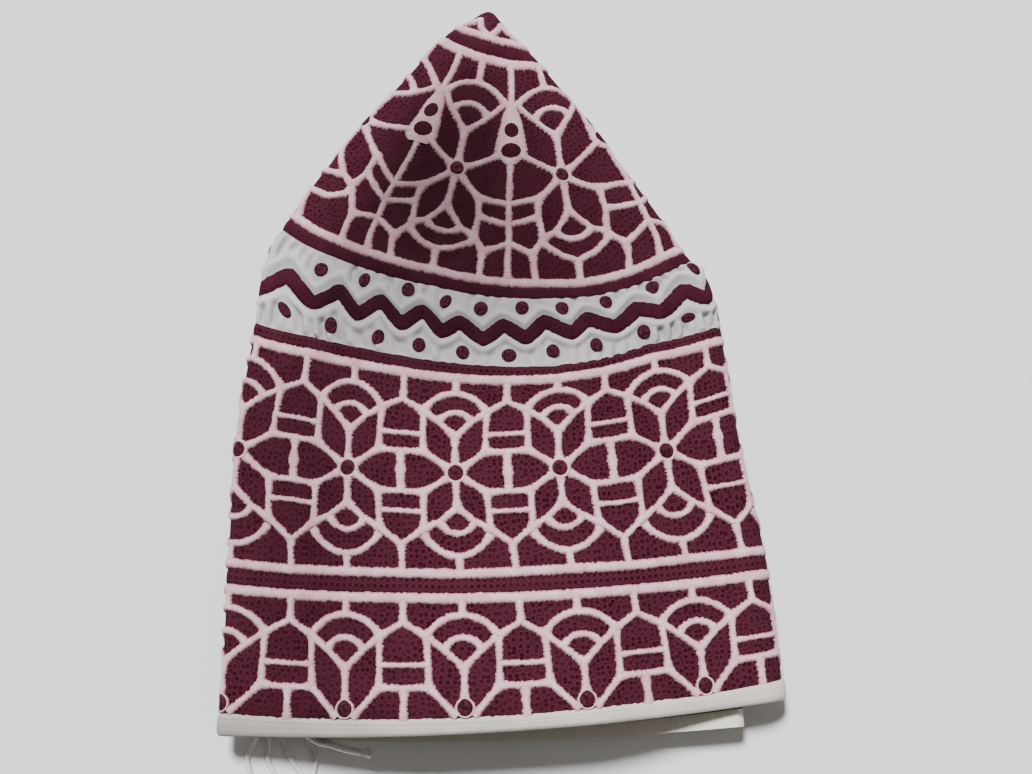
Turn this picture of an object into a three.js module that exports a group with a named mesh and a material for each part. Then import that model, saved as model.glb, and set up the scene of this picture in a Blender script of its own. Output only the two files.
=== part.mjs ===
// Embroidered prayer cap, folded flat into quarters and lying on its side.
// The round crown, the white zigzag band, the side wall and the rolled hem are four pieces of one
// closed tube of cloth. Pressed flat and folded once more, the tube has four layers:
// the front layer on top, the second and third layers inside the fold, and the under layer on the floor.
// The head opening is the pocket between the front and second layers, open at the hem.
// X runs to the right, Y towards the tip of the crown, Z up from the floor; sizes are in millimetres.

import * as THREE from 'three';

// Cloth and fold sizes
const WALL = 1.6;
const POCKET_GAP = 1.6;
const NOTCH_GAP = 1.4;
const RIGHT_FOLD_REACH = 7.5;
const INNER_FOLD_INSET = 13.5;
const INNER_FOLD_MIN = 4.6;
const LOWER_FOLD_INSET = 8;
const PIECE_GAP = 0.3;

// Outline of the folded front layer, one row for each ring of the cap from the tip to the hem.
// run: distance from the tip down the middle of the front; left and right: x and y of the two fold edges;
// sag: how far the ring bows towards the hem; arch: how much higher the middle lies than the edges.
const RINGS = [
  { ring: 'tip', run: 0, left: [-7.9, 104.6], right: [-1.8, 103.2], sag: -2.2, arch: 0.2 },
  { ring: 'tip ring', run: 17, left: [-17.2, 97.9], right: [10.1, 90.5], sag: 3.0, arch: 1.2 },
  { ring: 'upper crown', run: 39, left: [-30.9, 82.0], right: [22.8, 73.7], sag: 8.6, arch: 3.8 },
  { ring: 'mid crown', run: 60, left: [-43.9, 65.9], right: [34.7, 57.0], sag: 13.4, arch: 6.0 },
  { ring: 'lower crown', run: 78, left: [-54.8, 51.1], right: [44.9, 41.8], sag: 16.4, arch: 6.8 },
  { ring: 'crown edge', run: 95, left: [-64.3, 35.7], right: [53.9, 27.4], sag: 19.1, arch: 7.4 },
  { ring: 'band top', run: 98.5, left: [-67.3, 29.9], right: [56.7, 25.2], sag: 18.4, arch: 7.6 },
  { ring: 'mid band', run: 105, left: [-69.5, 18.4], right: [60.5, 14.7], sag: 14.3, arch: 7.9 },
  { ring: 'wall top', run: 115, left: [-70.8, 6.9], right: [61.9, 6.3], sag: 14.4, arch: 8.2 },
  { ring: 'flowers', run: 145.5, left: [-74.6, -28.8], right: [65.6, -22.9], sag: 10.9, arch: 8.8 },
  { ring: 'stripe', run: 174.5, left: [-74.9, -63.6], right: [71.9, -59.5], sag: 4.2, arch: 9.0 },
  { ring: 'hem top', run: 209.5, left: [-74.6, -100.1], right: [74.5, -90.5], sag: 5.5, arch: 9.0 },
  { ring: 'hem end', run: 214.5, left: [-74.6, -105.0], right: [74.8, -95.8], sag: 3.4, arch: 9.0 },
];
const ringNamed = (name) => RINGS.find((row) => row.ring === name);
const CROWN_END = ringNamed('crown edge').run;
const BAND_END = ringNamed('wall top').run;
const HEM_START = ringNamed('hem top').run;
const HEM_END = ringNamed('hem end').run;
const HEM_WIDTH = ringNamed('hem end').right[0] - ringNamed('hem end').left[0];

// How far each layer slips towards the tip at the hem, where positive is up and negative hangs out
const SLIP = {
  front: { left: 0, middle: 0, right: 0 },
  second: { left: 0, middle: -2.2, right: -5 },
  third: { left: 4, middle: 2.5, right: -5 },
  under: { left: 4, middle: 4.5, right: 0 },
};

// Form of the front: shoulders beside the folds, and one shallow dent in the crown
const SHOULDER = 0.36;
const DENT = { depth: 2.6, at: 0.45, run: 60, acrossShare: 0.17, alongRun: 20 };

// The tip of the crown is pressed solid and rounded off
const POCKET_START = 16;
const TIP_ROUND = 12;
const TIP_THINNEST = 0.5;
const FOLD_SHARE_AT_TIP = { left: 0.22, right: 0.3, inner: 0.55 };

// The rolled hem is a bead, thicker than the wall by twice its swell
const HEM_SWELL = 0.4;
const HEM_LIFT_RUN = 20;
const HEM_BEAD = [
  { share: 0, swell: 0.1 },
  { share: 0.22, swell: HEM_SWELL },
  { share: 0.72, swell: HEM_SWELL },
  { share: 0.92, swell: 0.05 },
  { share: 1, swell: -0.4 },
];

// Facets along each stretch of a section, in the order that the section runs
const FACETS = {
  front: 18, rightFold: 6, under: 9, lowerFold: 4, third: 8, innerFold: 4, second: 8, upperFold: 4,
};
const ROW_STEPS = { tip: 4, crown: 9, band: 5, wall: 9 };

const ease = (x) => {
  const clamped = THREE.MathUtils.clamp(x, 0, 1);
  return clamped * clamped * (3 - 2 * clamped);
};

// Slope of a column at a row: the harmonic mean of the slopes on its two sides, level at a turn
function rowSlope(before, after) {
  if (before === undefined) return after;
  if (after === undefined) return before;
  return before * after > 0 ? (2 * before * after) / (before + after) : 0;
}

// One column of the rings as a smooth function of the run
function smoothColumn(read) {
  const runs = RINGS.map((row) => row.run);
  const values = RINGS.map(read);
  const steps = runs.slice(1).map((run, i) => (values[i + 1] - values[i]) / (run - runs[i]));
  const slopes = runs.map((_, i) => rowSlope(steps[i - 1], steps[i]));
  return (run) => {
    const above = runs.findIndex((value) => value >= run);
    const i = THREE.MathUtils.clamp(above - 1, 0, runs.length - 2);
    const span = runs[i + 1] - runs[i];
    const x = (run - runs[i]) / span;
    const blend = ease(x);
    const rise = x * (1 - x) * ((1 - x) * slopes[i] - x * slopes[i + 1]) * span;
    return values[i] * (1 - blend) + values[i + 1] * blend + rise;
  };
}
const columnAt = {
  leftX: smoothColumn((row) => row.left[0]),
  leftY: smoothColumn((row) => row.left[1]),
  rightX: smoothColumn((row) => row.right[0]),
  rightY: smoothColumn((row) => row.right[1]),
  sag: smoothColumn((row) => row.sag),
  arch: smoothColumn((row) => row.arch),
};

// The ring at a run, as a circular arc in plan through its two fold edges
function ringAt(run) {
  const left = new THREE.Vector2(columnAt.leftX(run), columnAt.leftY(run));
  const right = new THREE.Vector2(columnAt.rightX(run), columnAt.rightY(run));
  const middle = left.clone().add(right).multiplyScalar(0.5);
  const along = right.clone().sub(left).normalize();
  const towardsHem = new THREE.Vector2(along.y, -along.x);
  const half = left.distanceTo(right) / 2;
  const sag = Math.abs(columnAt.sag(run)) < 0.01 ? 0.01 : columnAt.sag(run);
  const halfAngle = 2 * Math.atan(sag / half);
  const radius = (half * half + sag * sag) / (2 * sag);
  const width = 2 * radius * halfAngle;
  const place = (t) => {
    const angle = ((2 * t) / width - 1) * halfAngle;
    const bow = radius * (Math.cos(angle) - Math.cos(halfAngle));
    return middle.clone().addScaledVector(along, radius * Math.sin(angle)).addScaledVector(towardsHem, bow);
  };
  return { run, width, arch: columnAt.arch(run), place };
}

// Heights of the layers' outside faces at the fold edges, from the floor up
const THIRD_TOP = 2 * WALL + POCKET_GAP;
const SECOND_UNDERSIDE = THIRD_TOP + NOTCH_GAP;
const EDGE_HEIGHT = SECOND_UNDERSIDE + 2 * WALL + POCKET_GAP;

// Extra height of the front layer at a share of the way from the left fold to the right one
function archHeight(ring, share) {
  const shoulder = ease(Math.min(share, 1 - share) / SHOULDER);
  const across = (share - DENT.at) / DENT.acrossShare;
  const along = (ring.run - DENT.run) / DENT.alongRun;
  const dent = DENT.depth * Math.exp(-across * across - along * along);
  return shoulder * (ring.arch - dent);
}

// Slip of one layer at a share of its width, a parabola through its left, middle and right values
function layerSlip(layer, share, run) {
  const { left, middle, right } = SLIP[layer];
  const full = left * (1 - share) * (1 - 2 * share) + middle * 4 * share * (1 - share)
    + right * share * (2 * share - 1);
  return full * ease((run - BAND_END) / (HEM_END - BAND_END));
}

// Places of the four folds across a ring: centre and reach, measured from its left end
function foldsAcross(width) {
  const scale = width / HEM_WIDTH;
  const leftReach = Math.min(THIRD_TOP / 2, FOLD_SHARE_AT_TIP.left * width);
  const rightReach = Math.min(RIGHT_FOLD_REACH, FOLD_SHARE_AT_TIP.right * width);
  const innerInset = Math.max(INNER_FOLD_MIN, INNER_FOLD_INSET * scale);
  return {
    upper: { t: leftReach, reach: leftReach },
    lower: { t: LOWER_FOLD_INSET * scale + leftReach, reach: leftReach },
    right: { t: width - rightReach, reach: rightReach },
    inner: { t: width - Math.min(innerInset, FOLD_SHARE_AT_TIP.inner * width), reach: NOTCH_GAP / 2 },
  };
}

// One closed section of the folded tube, its cloth face set in by an inset from the outside face.
// Each point has t across the ring, z above the floor and its slip along Y.
function foldedSection(run, inset) {
  const ring = ringAt(run);
  const folds = foldsAcross(ring.width);
  const lift = HEM_SWELL * ease((run - (HEM_START - HEM_LIFT_RUN)) / HEM_LIFT_RUN);
  const points = [];
  const layer = (name, from, to, height) => {
    for (let i = 0; i < FACETS[name]; i += 1) {
      const t = THREE.MathUtils.lerp(from.t, to.t, i / FACETS[name]);
      const share = (t - Math.min(from.t, to.t)) / Math.abs(to.t - from.t);
      points.push({ t, z: height(share), slip: layerSlip(name, share, run) });
    }
  };
  const fold = (name, centre, low, high, startAngle, turn, grow, slip) => {
    for (let i = 0; i < FACETS[name]; i += 1) {
      const angle = startAngle + (turn * i) / FACETS[name];
      const t = centre.t + (centre.reach + grow) * Math.cos(angle);
      const z = (low + high) / 2 + ((high - low) / 2 + grow) * Math.sin(angle);
      points.push({ t, z, slip });
    }
  };
  const quarter = Math.PI / 2;
  const slipAt = (name, share) => layerSlip(name, share, run);
  layer('front', folds.upper, folds.right, (share) => EDGE_HEIGHT + archHeight(ring, share) - inset);
  fold('rightFold', folds.right, 0, EDGE_HEIGHT, quarter, -Math.PI, -inset, slipAt('under', 1));
  layer('under', folds.right, folds.lower, () => inset);
  fold('lowerFold', folds.lower, 0, THIRD_TOP, -quarter, -Math.PI, -inset, slipAt('third', 0));
  layer('third', folds.lower, folds.inner, () => THIRD_TOP - inset);
  fold('innerFold', folds.inner, THIRD_TOP, SECOND_UNDERSIDE, -quarter, Math.PI, inset, slipAt('third', 1));
  layer('second', folds.inner, folds.upper, () => SECOND_UNDERSIDE + inset);
  const leftSlip = slipAt('second', 0);
  fold('upperFold', folds.upper, SECOND_UNDERSIDE, EDGE_HEIGHT, -quarter, -Math.PI, -inset, leftSlip);
  const fromTip = THREE.MathUtils.clamp(run / TIP_ROUND, 0, 1);
  const thin = TIP_THINNEST + (1 - TIP_THINNEST) * Math.sqrt(1 - (1 - fromTip) ** 2);
  return points.map(({ t, z, slip }) => {
    const plan = ring.place(t);
    const height = EDGE_HEIGHT / 2 + (z - EDGE_HEIGHT / 2) * thin + lift;
    return { flat: new THREE.Vector2(t, z), solid: new THREE.Vector3(plan.x, plan.y + slip, height) };
  });
}

// Collects the vertices and triangles of one closed piece
class Shell {
  constructor() {
    this.positions = [];
    this.triangles = [];
  }

  addLoop(section) {
    const start = this.positions.length / 3;
    section.forEach(({ solid }) => this.positions.push(solid.x, solid.y, solid.z));
    return section.map((_, i) => start + i);
  }

  // Two triangles between each pair of neighbours of two loops; the face looks out of the tube
  // when the first loop is nearer the tip
  bridge(first, second) {
    first.forEach((a, i) => {
      const next = (i + 1) % first.length;
      this.triangles.push(a, second[i], first[next], first[next], second[i], second[next]);
    });
  }

  // Closes one loop, looking towards the tip or towards the hem
  close(loop, section, towardsTip) {
    const outline = section.map(({ flat }) => flat);
    THREE.ShapeUtils.triangulateShape(outline, []).forEach(([a, b, c]) => {
      const turn = outline[b].clone().sub(outline[a]).cross(outline[c].clone().sub(outline[a]));
      const order = turn > 0 === towardsTip ? [a, c, b] : [a, b, c];
      this.triangles.push(...order.map((i) => loop[i]));
    });
  }

  geometry() {
    const geometry = new THREE.BufferGeometry();
    geometry.setAttribute('position', new THREE.Float32BufferAttribute(this.positions, 3));
    geometry.setIndex(this.triangles);
    geometry.computeVertexNormals();
    return geometry;
  }
}

// Evenly spaced runs from one ring to another
function evenRuns(from, to, steps) {
  return Array.from({ length: steps + 1 }, (_, i) => THREE.MathUtils.lerp(from, to, i / steps));
}

// An open length of the tube: outside face, inside face and the two cut edges
function tubePiece(rows) {
  const shell = new Shell();
  const outside = rows.map(({ run, swell }) => shell.addLoop(foldedSection(run, -swell)));
  const inside = rows.map(({ run, swell }) => shell.addLoop(foldedSection(run, WALL + swell)));
  rows.slice(1).forEach((_, i) => {
    shell.bridge(outside[i], outside[i + 1]);
    shell.bridge(inside[i + 1], inside[i]);
  });
  shell.bridge(inside[0], outside[0]);
  shell.bridge(outside.at(-1), inside.at(-1));
  return shell.geometry();
}

// The crown: solid from the rounded tip to the start of the pocket, then a tube
function crownPiece(tipRuns, tubeRuns) {
  const shell = new Shell();
  const tipSection = foldedSection(tipRuns[0], 0);
  const pocketSection = foldedSection(tubeRuns[0], WALL);
  const outside = [...tipRuns, ...tubeRuns.slice(1)].map((run) => shell.addLoop(foldedSection(run, 0)));
  const inside = tubeRuns.map((run) => shell.addLoop(foldedSection(run, WALL)));
  outside.slice(1).forEach((loop, i) => shell.bridge(outside[i], loop));
  inside.slice(1).forEach((loop, i) => shell.bridge(loop, inside[i]));
  shell.close(outside[0], tipSection, true);
  shell.close(inside[0], pocketSection, false);
  shell.bridge(outside.at(-1), inside.at(-1));
  return shell.geometry();
}

const plainRows = (runs) => runs.map((run) => ({ run, swell: 0 }));
const half = PIECE_GAP / 2;
const hemRows = HEM_BEAD.map(({ share, swell }) => (
  { run: THREE.MathUtils.lerp(HEM_START + half, HEM_END, share), swell }
));

const PIECES = [
  {
    name: 'crown',
    colour: 0x6b2430,
    geometry: crownPiece(
      evenRuns(0, POCKET_START, ROW_STEPS.tip),
      evenRuns(POCKET_START, CROWN_END - half, ROW_STEPS.crown),
    ),
  },
  {
    name: 'zigzag_band',
    colour: 0xe6e2e0,
    geometry: tubePiece(plainRows(evenRuns(CROWN_END + half, BAND_END - half, ROW_STEPS.band))),
  },
  {
    name: 'side_wall',
    colour: 0x6b2430,
    geometry: tubePiece(plainRows(evenRuns(BAND_END + half, HEM_START - half, ROW_STEPS.wall))),
  },
  { name: 'hem', colour: 0xe9e6e3, geometry: tubePiece(hemRows) },
];

const cap = new THREE.Group();
PIECES.forEach(({ name, colour, geometry }) => {
  const cloth = new THREE.MeshStandardMaterial({ color: colour, roughness: 0.9, metalness: 0 });
  const piece = new THREE.Mesh(geometry, cloth);
  piece.name = name;
  cap.add(piece);
});

export default cap;
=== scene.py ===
"""Looks of an embroidered prayer cap that lies folded flat.

The cap is one cotton tube, closed at its tip, folded so that four layers lie on each other.
A place on its outer face is given by two numbers: the share of the way round the tube, counted
from the outermost point of the upper left fold, and the run in millimetres from the tip.
Cloth, cords, stripes and dots are all grids of points on that face, raised or sunk along its normal.
"""

import bpy
import numpy as np
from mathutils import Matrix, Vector


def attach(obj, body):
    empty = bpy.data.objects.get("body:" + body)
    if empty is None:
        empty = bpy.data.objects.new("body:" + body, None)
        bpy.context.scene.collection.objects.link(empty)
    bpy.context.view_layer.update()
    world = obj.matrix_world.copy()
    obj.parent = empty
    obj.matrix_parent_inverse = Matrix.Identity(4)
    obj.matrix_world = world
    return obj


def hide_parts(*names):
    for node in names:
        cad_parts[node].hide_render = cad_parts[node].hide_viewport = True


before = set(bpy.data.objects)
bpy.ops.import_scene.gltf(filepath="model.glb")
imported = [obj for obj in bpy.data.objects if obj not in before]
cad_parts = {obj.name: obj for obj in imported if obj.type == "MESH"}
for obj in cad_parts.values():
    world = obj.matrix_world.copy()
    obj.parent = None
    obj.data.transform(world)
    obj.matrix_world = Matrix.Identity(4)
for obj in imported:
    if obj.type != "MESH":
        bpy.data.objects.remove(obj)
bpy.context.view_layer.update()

MM = 0.001
TINY = 1e-6
rng = np.random.default_rng(11)

# Sizes of the folded tube in millimetres
WALL = 1.6
POCKET_GAP = 1.6
NOTCH_GAP = 1.4
RIGHT_FOLD_REACH = 7.5
INNER_FOLD_INSET = 13.5
INNER_FOLD_MIN = 4.6
LOWER_FOLD_INSET = 8.0
SHOULDER = 0.36
DENT_DEPTH = 2.6
DENT_AT = 0.45
DENT_RUN = 60.0
DENT_ACROSS = 0.17
DENT_ALONG = 20.0
POCKET_START = 16.0
TIP_ROUND = 12.0
TIP_THINNEST = 0.5
TIP_SHARE = {"left": 0.22, "right": 0.3, "inner": 0.55}
HEM_SWELL = 0.4
HEM_LIFT_RUN = 20.0

# Sections of the tube: the run, where its left and right folds lie, and the front's sag and arch
RING_COLUMNS = ("run", "left_x", "left_y", "right_x", "right_y", "sag", "arch")
RINGS = {
    "tip": (0, -7.9, 104.6, -1.8, 103.2, -2.2, 0.2),
    "tip ring": (17, -17.2, 97.9, 10.1, 90.5, 3.0, 1.2),
    "upper crown": (39, -30.9, 82.0, 22.8, 73.7, 8.6, 3.8),
    "mid crown": (60, -43.9, 65.9, 34.7, 57.0, 13.4, 6.0),
    "lower crown": (78, -54.8, 51.1, 44.9, 41.8, 16.4, 6.8),
    "crown edge": (95, -64.3, 35.7, 53.9, 27.4, 19.1, 7.4),
    "band top": (98.5, -67.3, 29.9, 56.7, 25.2, 18.4, 7.6),
    "mid band": (105, -69.5, 18.4, 60.5, 14.7, 14.3, 7.9),
    "wall top": (115, -70.8, 6.9, 61.9, 6.3, 14.4, 8.2),
    "flowers": (145.5, -74.6, -28.8, 65.6, -22.9, 10.9, 8.8),
    "stripe": (174.5, -74.9, -63.6, 71.9, -59.5, 4.2, 9.0),
    "hem top": (209.5, -74.6, -100.1, 74.5, -90.5, 5.5, 9.0),
    "hem end": (214.5, -74.6, -105.0, 74.8, -95.8, 3.4, 9.0),
}
RING_TABLE = np.array(list(RINGS.values()), float)
CROWN_END = RINGS["crown edge"][0]
BAND_END = RINGS["wall top"][0]
HEM_START = RINGS["hem top"][0]
HEM_END = RINGS["hem end"][0]
HEM_WIDTH = RINGS["hem end"][3] - RINGS["hem end"][1]
THIRD_TOP = 2 * WALL + POCKET_GAP
SECOND_UNDER = THIRD_TOP + NOTCH_GAP
EDGE_HEIGHT = SECOND_UNDER + 2 * WALL + POCKET_GAP

# How far each layer's mouth has slipped towards the tip at its left, middle and right
SLIP = {"front": (0, 0, 0), "second": (0, -2.2, -5), "third": (4, 2.5, -5), "under": (4, 4.5, 0)}

# Points round one section, layer by layer and fold by fold
STRETCHES = {
    "front": 420, "right_fold": 80, "under": 300, "lower_fold": 40,
    "third": 280, "inner_fold": 30, "second": 290, "upper_fold": 40,
}
LEAST_SAG = 0.01

# Taken from a count of points, this leaves a place just before the last of them
BEFORE_LAST = 1.001


def ease(x):
    """Smooth step from 0 to 1: 3x² - 2x³ with x held between 0 and 1."""
    x = np.clip(x, 0, 1)
    return x * x * (3 - 2 * x)


def window(x, start, full, fading, end):
    """Two smooth steps: from 0 at start up to 1 at full, and from 1 at fading down to 0 at end."""
    return ease((x - start) / (full - start)) * ease((end - x) / (end - fading))


def bell(x):
    """A bell shape: e to the minus x², which is 1 at 0 and falls to both sides."""
    return np.exp(-(x**2))


def from_crease(share):
    """A share brought between -0.5 and 0.5, counted from the front's left crease to both sides."""
    return (share + 0.5) % 1 - 0.5


def smooth_column(name, run):
    """A column of the ring table at any run: cubic pieces whose slopes never overshoot."""
    runs = RING_TABLE[:, 0]
    values = RING_TABLE[:, RING_COLUMNS.index(name)]
    span = np.diff(runs)
    step = np.diff(values) / span
    before, after = step[:-1], step[1:]
    same_way = before * after > 0
    total = np.where(same_way, before + after, 1)
    inner = np.where(same_way, 2 * before * after / total, 0)
    slope = np.concatenate([step[:1], inner, step[-1:]])
    i = np.clip(np.searchsorted(runs, run) - 1, 0, len(span) - 1)
    x = (run - runs[i]) / span[i]
    rise = x * (1 - x) * ((1 - x) * slope[i] - x * slope[i + 1]) * span[i]
    return values[i] * (1 - ease(x)) + values[i + 1] * ease(x) + rise


def layer_slip(layer, share, run):
    """A parabola through the layer's three slips, growing from the band to the hem."""
    left, middle, right = SLIP[layer]
    whole = left * (1 - share) * (1 - 2 * share) + middle * 4 * share * (1 - share)
    whole = whole + right * share * (2 * share - 1)
    return whole * ease((run - BAND_END) / (HEM_END - BAND_END))


def folded_sections(run):
    """Closed sections of the folded tube at several runs, as an array of runs, points and x, y, z.

    Each section is laid out flat along t, as four layers at their heights joined by four half
    ellipses, and t is then bent along a circle arc between the left and the right fold.
    """
    run = np.asarray(run, float)[:, None]
    lx, ly, rx, ry, sag, arch = (smooth_column(name, run) for name in RING_COLUMNS[1:])
    half = np.hypot(rx - lx, ry - ly) / 2
    ax, ay = (rx - lx) / (2 * half), (ry - ly) / (2 * half)
    sag = np.where(np.abs(sag) < LEAST_SAG, LEAST_SAG, sag)
    half_angle = 2 * np.arctan(sag / half)
    radius = (half**2 + sag**2) / (2 * sag)
    width = 2 * radius * half_angle
    scale = width / HEM_WIDTH
    left_reach = np.minimum(THIRD_TOP / 2, TIP_SHARE["left"] * width)
    right_reach = np.minimum(RIGHT_FOLD_REACH, TIP_SHARE["right"] * width)
    inner_inset = np.maximum(INNER_FOLD_MIN, INNER_FOLD_INSET * scale)
    inner = width - np.minimum(inner_inset, TIP_SHARE["inner"] * width)
    lower = LOWER_FOLD_INSET * scale + left_reach
    right = width - right_reach
    pieces = []

    def layer(name, start, end, height):
        """A layer in even steps of t from start to end, at its height and with its own slip."""
        share = np.arange(STRETCHES[name])[None, :] / STRETCHES[name]
        t = start + (end - start) * share
        share = share if name in ("front", "third") else 1 - share
        pieces.append((t, height(share) + 0 * t, layer_slip(name, share, run) + 0 * t))

    def fold(name, centre, reach, heights, start, turn, end):
        """Half an ellipse in even steps of angle between two heights, slipping as a layer's end does."""
        low, high = heights
        angle = start + turn * np.arange(STRETCHES[name])[None, :] / STRETCHES[name]
        t = centre + reach * np.cos(angle)
        z = (low + high) / 2 + (high - low) / 2 * np.sin(angle)
        pieces.append((t, z + 0 * t, layer_slip(*end, run) + 0 * t))

    def front_height(share):
        """The front's arch behind two smooth shoulders, less a bell-shaped dent in the crown."""
        shoulder = ease(np.minimum(share, 1 - share) / SHOULDER)
        dent = bell((share - DENT_AT) / DENT_ACROSS) * bell((run - DENT_RUN) / DENT_ALONG)
        return EDGE_HEIGHT + shoulder * (arch - DENT_DEPTH * dent)

    quarter = np.pi / 2
    layer("front", left_reach, right, front_height)
    fold("right_fold", right, right_reach, (0, EDGE_HEIGHT), quarter, -np.pi, ("under", 1))
    layer("under", right, lower, lambda share: 0)
    fold("lower_fold", lower, left_reach, (0, THIRD_TOP), -quarter, -np.pi, ("third", 0))
    layer("third", lower, inner, lambda share: THIRD_TOP)
    fold("inner_fold", inner, NOTCH_GAP / 2, (THIRD_TOP, SECOND_UNDER), -quarter, np.pi, ("third", 1))
    layer("second", inner, left_reach, lambda share: SECOND_UNDER)
    fold("upper_fold", left_reach, left_reach, (SECOND_UNDER, EDGE_HEIGHT), -quarter, -np.pi, ("second", 0))
    t, z, slip = (np.concatenate(part, axis=1) for part in zip(*pieces))
    from_tip = np.clip(run / TIP_ROUND, 0, 1)
    thin = TIP_THINNEST + (1 - TIP_THINNEST) * np.sqrt(1 - (1 - from_tip) ** 2)
    lift = HEM_SWELL * ease((run - (HEM_START - HEM_LIFT_RUN)) / HEM_LIFT_RUN)
    angle = (2 * t / width - 1) * half_angle
    bow = radius * (np.cos(angle) - np.cos(half_angle))
    x = (lx + rx) / 2 + ax * radius * np.sin(angle) + ay * bow
    y = (ly + ry) / 2 + ay * radius * np.sin(angle) - ax * bow + slip
    return np.stack([x, y, EDGE_HEIGHT / 2 + (z - EDGE_HEIGHT / 2) * thin + lift], axis=-1)


class FoldedCloth:
    """The tube's outer face as a table over evenly spaced runs and shares of the way round."""

    ROW_STEP = 0.5
    COLUMNS = 1500

    def __init__(self):
        """Measures each section round, spaces its points evenly, and takes slopes and normals."""
        rows = int(HEM_END / self.ROW_STEP) + 1
        sections = folded_sections(np.arange(rows) * self.ROW_STEP)
        closed = np.concatenate([sections, sections[:, :1]], axis=1)
        step = np.linalg.norm(np.diff(closed, axis=1), axis=2)
        length = np.concatenate([np.zeros((rows, 1)), np.cumsum(step, axis=1)], axis=1)
        self.girth = length[:, -1]
        before_front = self.girth - length[:, -1 - STRETCHES["upper_fold"] // 2]
        share = np.arange(self.COLUMNS) / self.COLUMNS
        wanted = (share * self.girth[:, None] - before_front[:, None]) % self.girth[:, None]
        apart = 2 * self.girth.max() * np.arange(rows)[:, None]
        known = (length + apart).ravel()
        wanted = (wanted + apart).ravel()
        axes = [np.interp(wanted, known, closed[..., k].ravel()) for k in range(3)]
        self.points = np.stack(axes, axis=-1).reshape(rows, self.COLUMNS, 3)
        ahead, behind = np.roll(self.points, -1, axis=1), np.roll(self.points, 1, axis=1)
        self.round = (ahead - behind) * self.COLUMNS / 2
        self.down = np.gradient(self.points, self.ROW_STEP, axis=0)
        normals = np.cross(self.down, self.round)
        self.normals = normals / np.linalg.norm(normals, axis=-1, keepdims=True)

    def read(self, table, share, run):
        """A table's value at any share and run, bilinear between its four neighbours."""
        row = np.clip(run / self.ROW_STEP, 0, len(table) - BEFORE_LAST)
        column = (share % 1) * self.COLUMNS
        i, j = row.astype(int), column.astype(int) % self.COLUMNS
        beside = (j + 1) % self.COLUMNS
        down, across = (row - i)[..., None], (column - np.floor(column))[..., None]
        upper = table[i, j] * (1 - across) + table[i, beside] * across
        lower = table[i + 1, j] * (1 - across) + table[i + 1, beside] * across
        return upper * (1 - down) + lower * down

    def at(self, share, run, height):
        """Points in metres at a height in millimetres above the outer face."""
        share, run, height = np.broadcast_arrays(share, run, height)
        normal = self.read(self.normals, share, run)
        normal = normal / np.linalg.norm(normal, axis=-1, keepdims=True)
        return (self.read(self.points, share, run) + normal * height[..., None]) * MM

    def measure(self, share, run):
        """Lengths of the cloth: mm per share round, the lean of the run's line, mm per mm down."""
        across, down = self.read(self.round, share, run), self.read(self.down, share, run)
        long = np.linalg.norm(across, axis=-1)
        lean = (across * down).sum(-1) / long
        return long, lean, np.sqrt(np.maximum((down * down).sum(-1) - lean**2, TINY))

    def spread(self, share, run, x, y):
        """The share and run of a place x mm round and y mm down the cloth from another, held to the tube."""
        long, lean, tall = self.measure(share, run)
        return share + (x - lean * y / tall) / long, np.clip(run + y / tall, 0, HEM_END)


cloth = FoldedCloth()

# Layers of the cloth, in millimetres below or above the tube's outer face
GROUND = -0.5
FRONT_PROUD = 0.25
FRONT_ENDS = 0.262
FRONT_BLEND = 0.012
INNER = -WALL


def front_share(share):
    """1 on the front and its two creases, 0 on the layers under it."""
    return window(from_crease(share), -FRONT_BLEND, 0, FRONT_ENDS, FRONT_ENDS + FRONT_BLEND)


def raised(share, level):
    """Height over the face: level 0 is the ground cloth, level 1 the top of a cord."""
    return GROUND + level * (FRONT_PROUD * front_share(share) - GROUND)


# Soft spots of the front where colour is darkened, as painted shade on the crown, band and wall, the last two
# darkening the hem's left end: middle share and run, reach in shares and mm, depth
PAINTED_SHADE_NAME = "painted_shade"
PAINTED_SHADE_SPOTS = (
    (0.1, 69, 0.125, 36, 1.0),
    (0.11, 42, 0.06, 18, 0.6),
    (0.1, 101, 0.12, 12, 0.7),
    (0.04, 155, 0.04, 70, 0.4),
    (0.0, 213, 0.09, 6, 0.75),
    (0.1, 213, 0.12, 6, 0.3),
)
PAINTED_SHADE_FROM = 0.06
PAINTED_SHADE_FADE = (112, 130)


def painted_shade_at(share, run):
    """How much shade is painted on the cloth, from 0 to 1: bell-shaped spots on the front, joined where they
    meet.

    Those of the crown and band fade out towards the left crease.
    """
    side = from_crease(share)
    upper, lower = PAINTED_SHADE_FADE
    fade = 1 - (1 - ease(side / PAINTED_SHADE_FROM)) * ease((lower - run) / (lower - upper))
    clear = 1
    for middle, at, across, along, depth in PAINTED_SHADE_SPOTS:
        clear = clear * (1 - depth * bell((side - middle) / across) * bell((run - at) / along))
    return (1 - clear) * fade * front_share(share)


UV_NAME = "cloth_mm"
SHARP_ANGLE = 50


def put_in_scene(name, data):
    """A new object of this name and data, in the scene's own collection."""
    obj = bpy.data.objects.new(name, data)
    bpy.context.scene.collection.objects.link(obj)
    return obj


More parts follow.
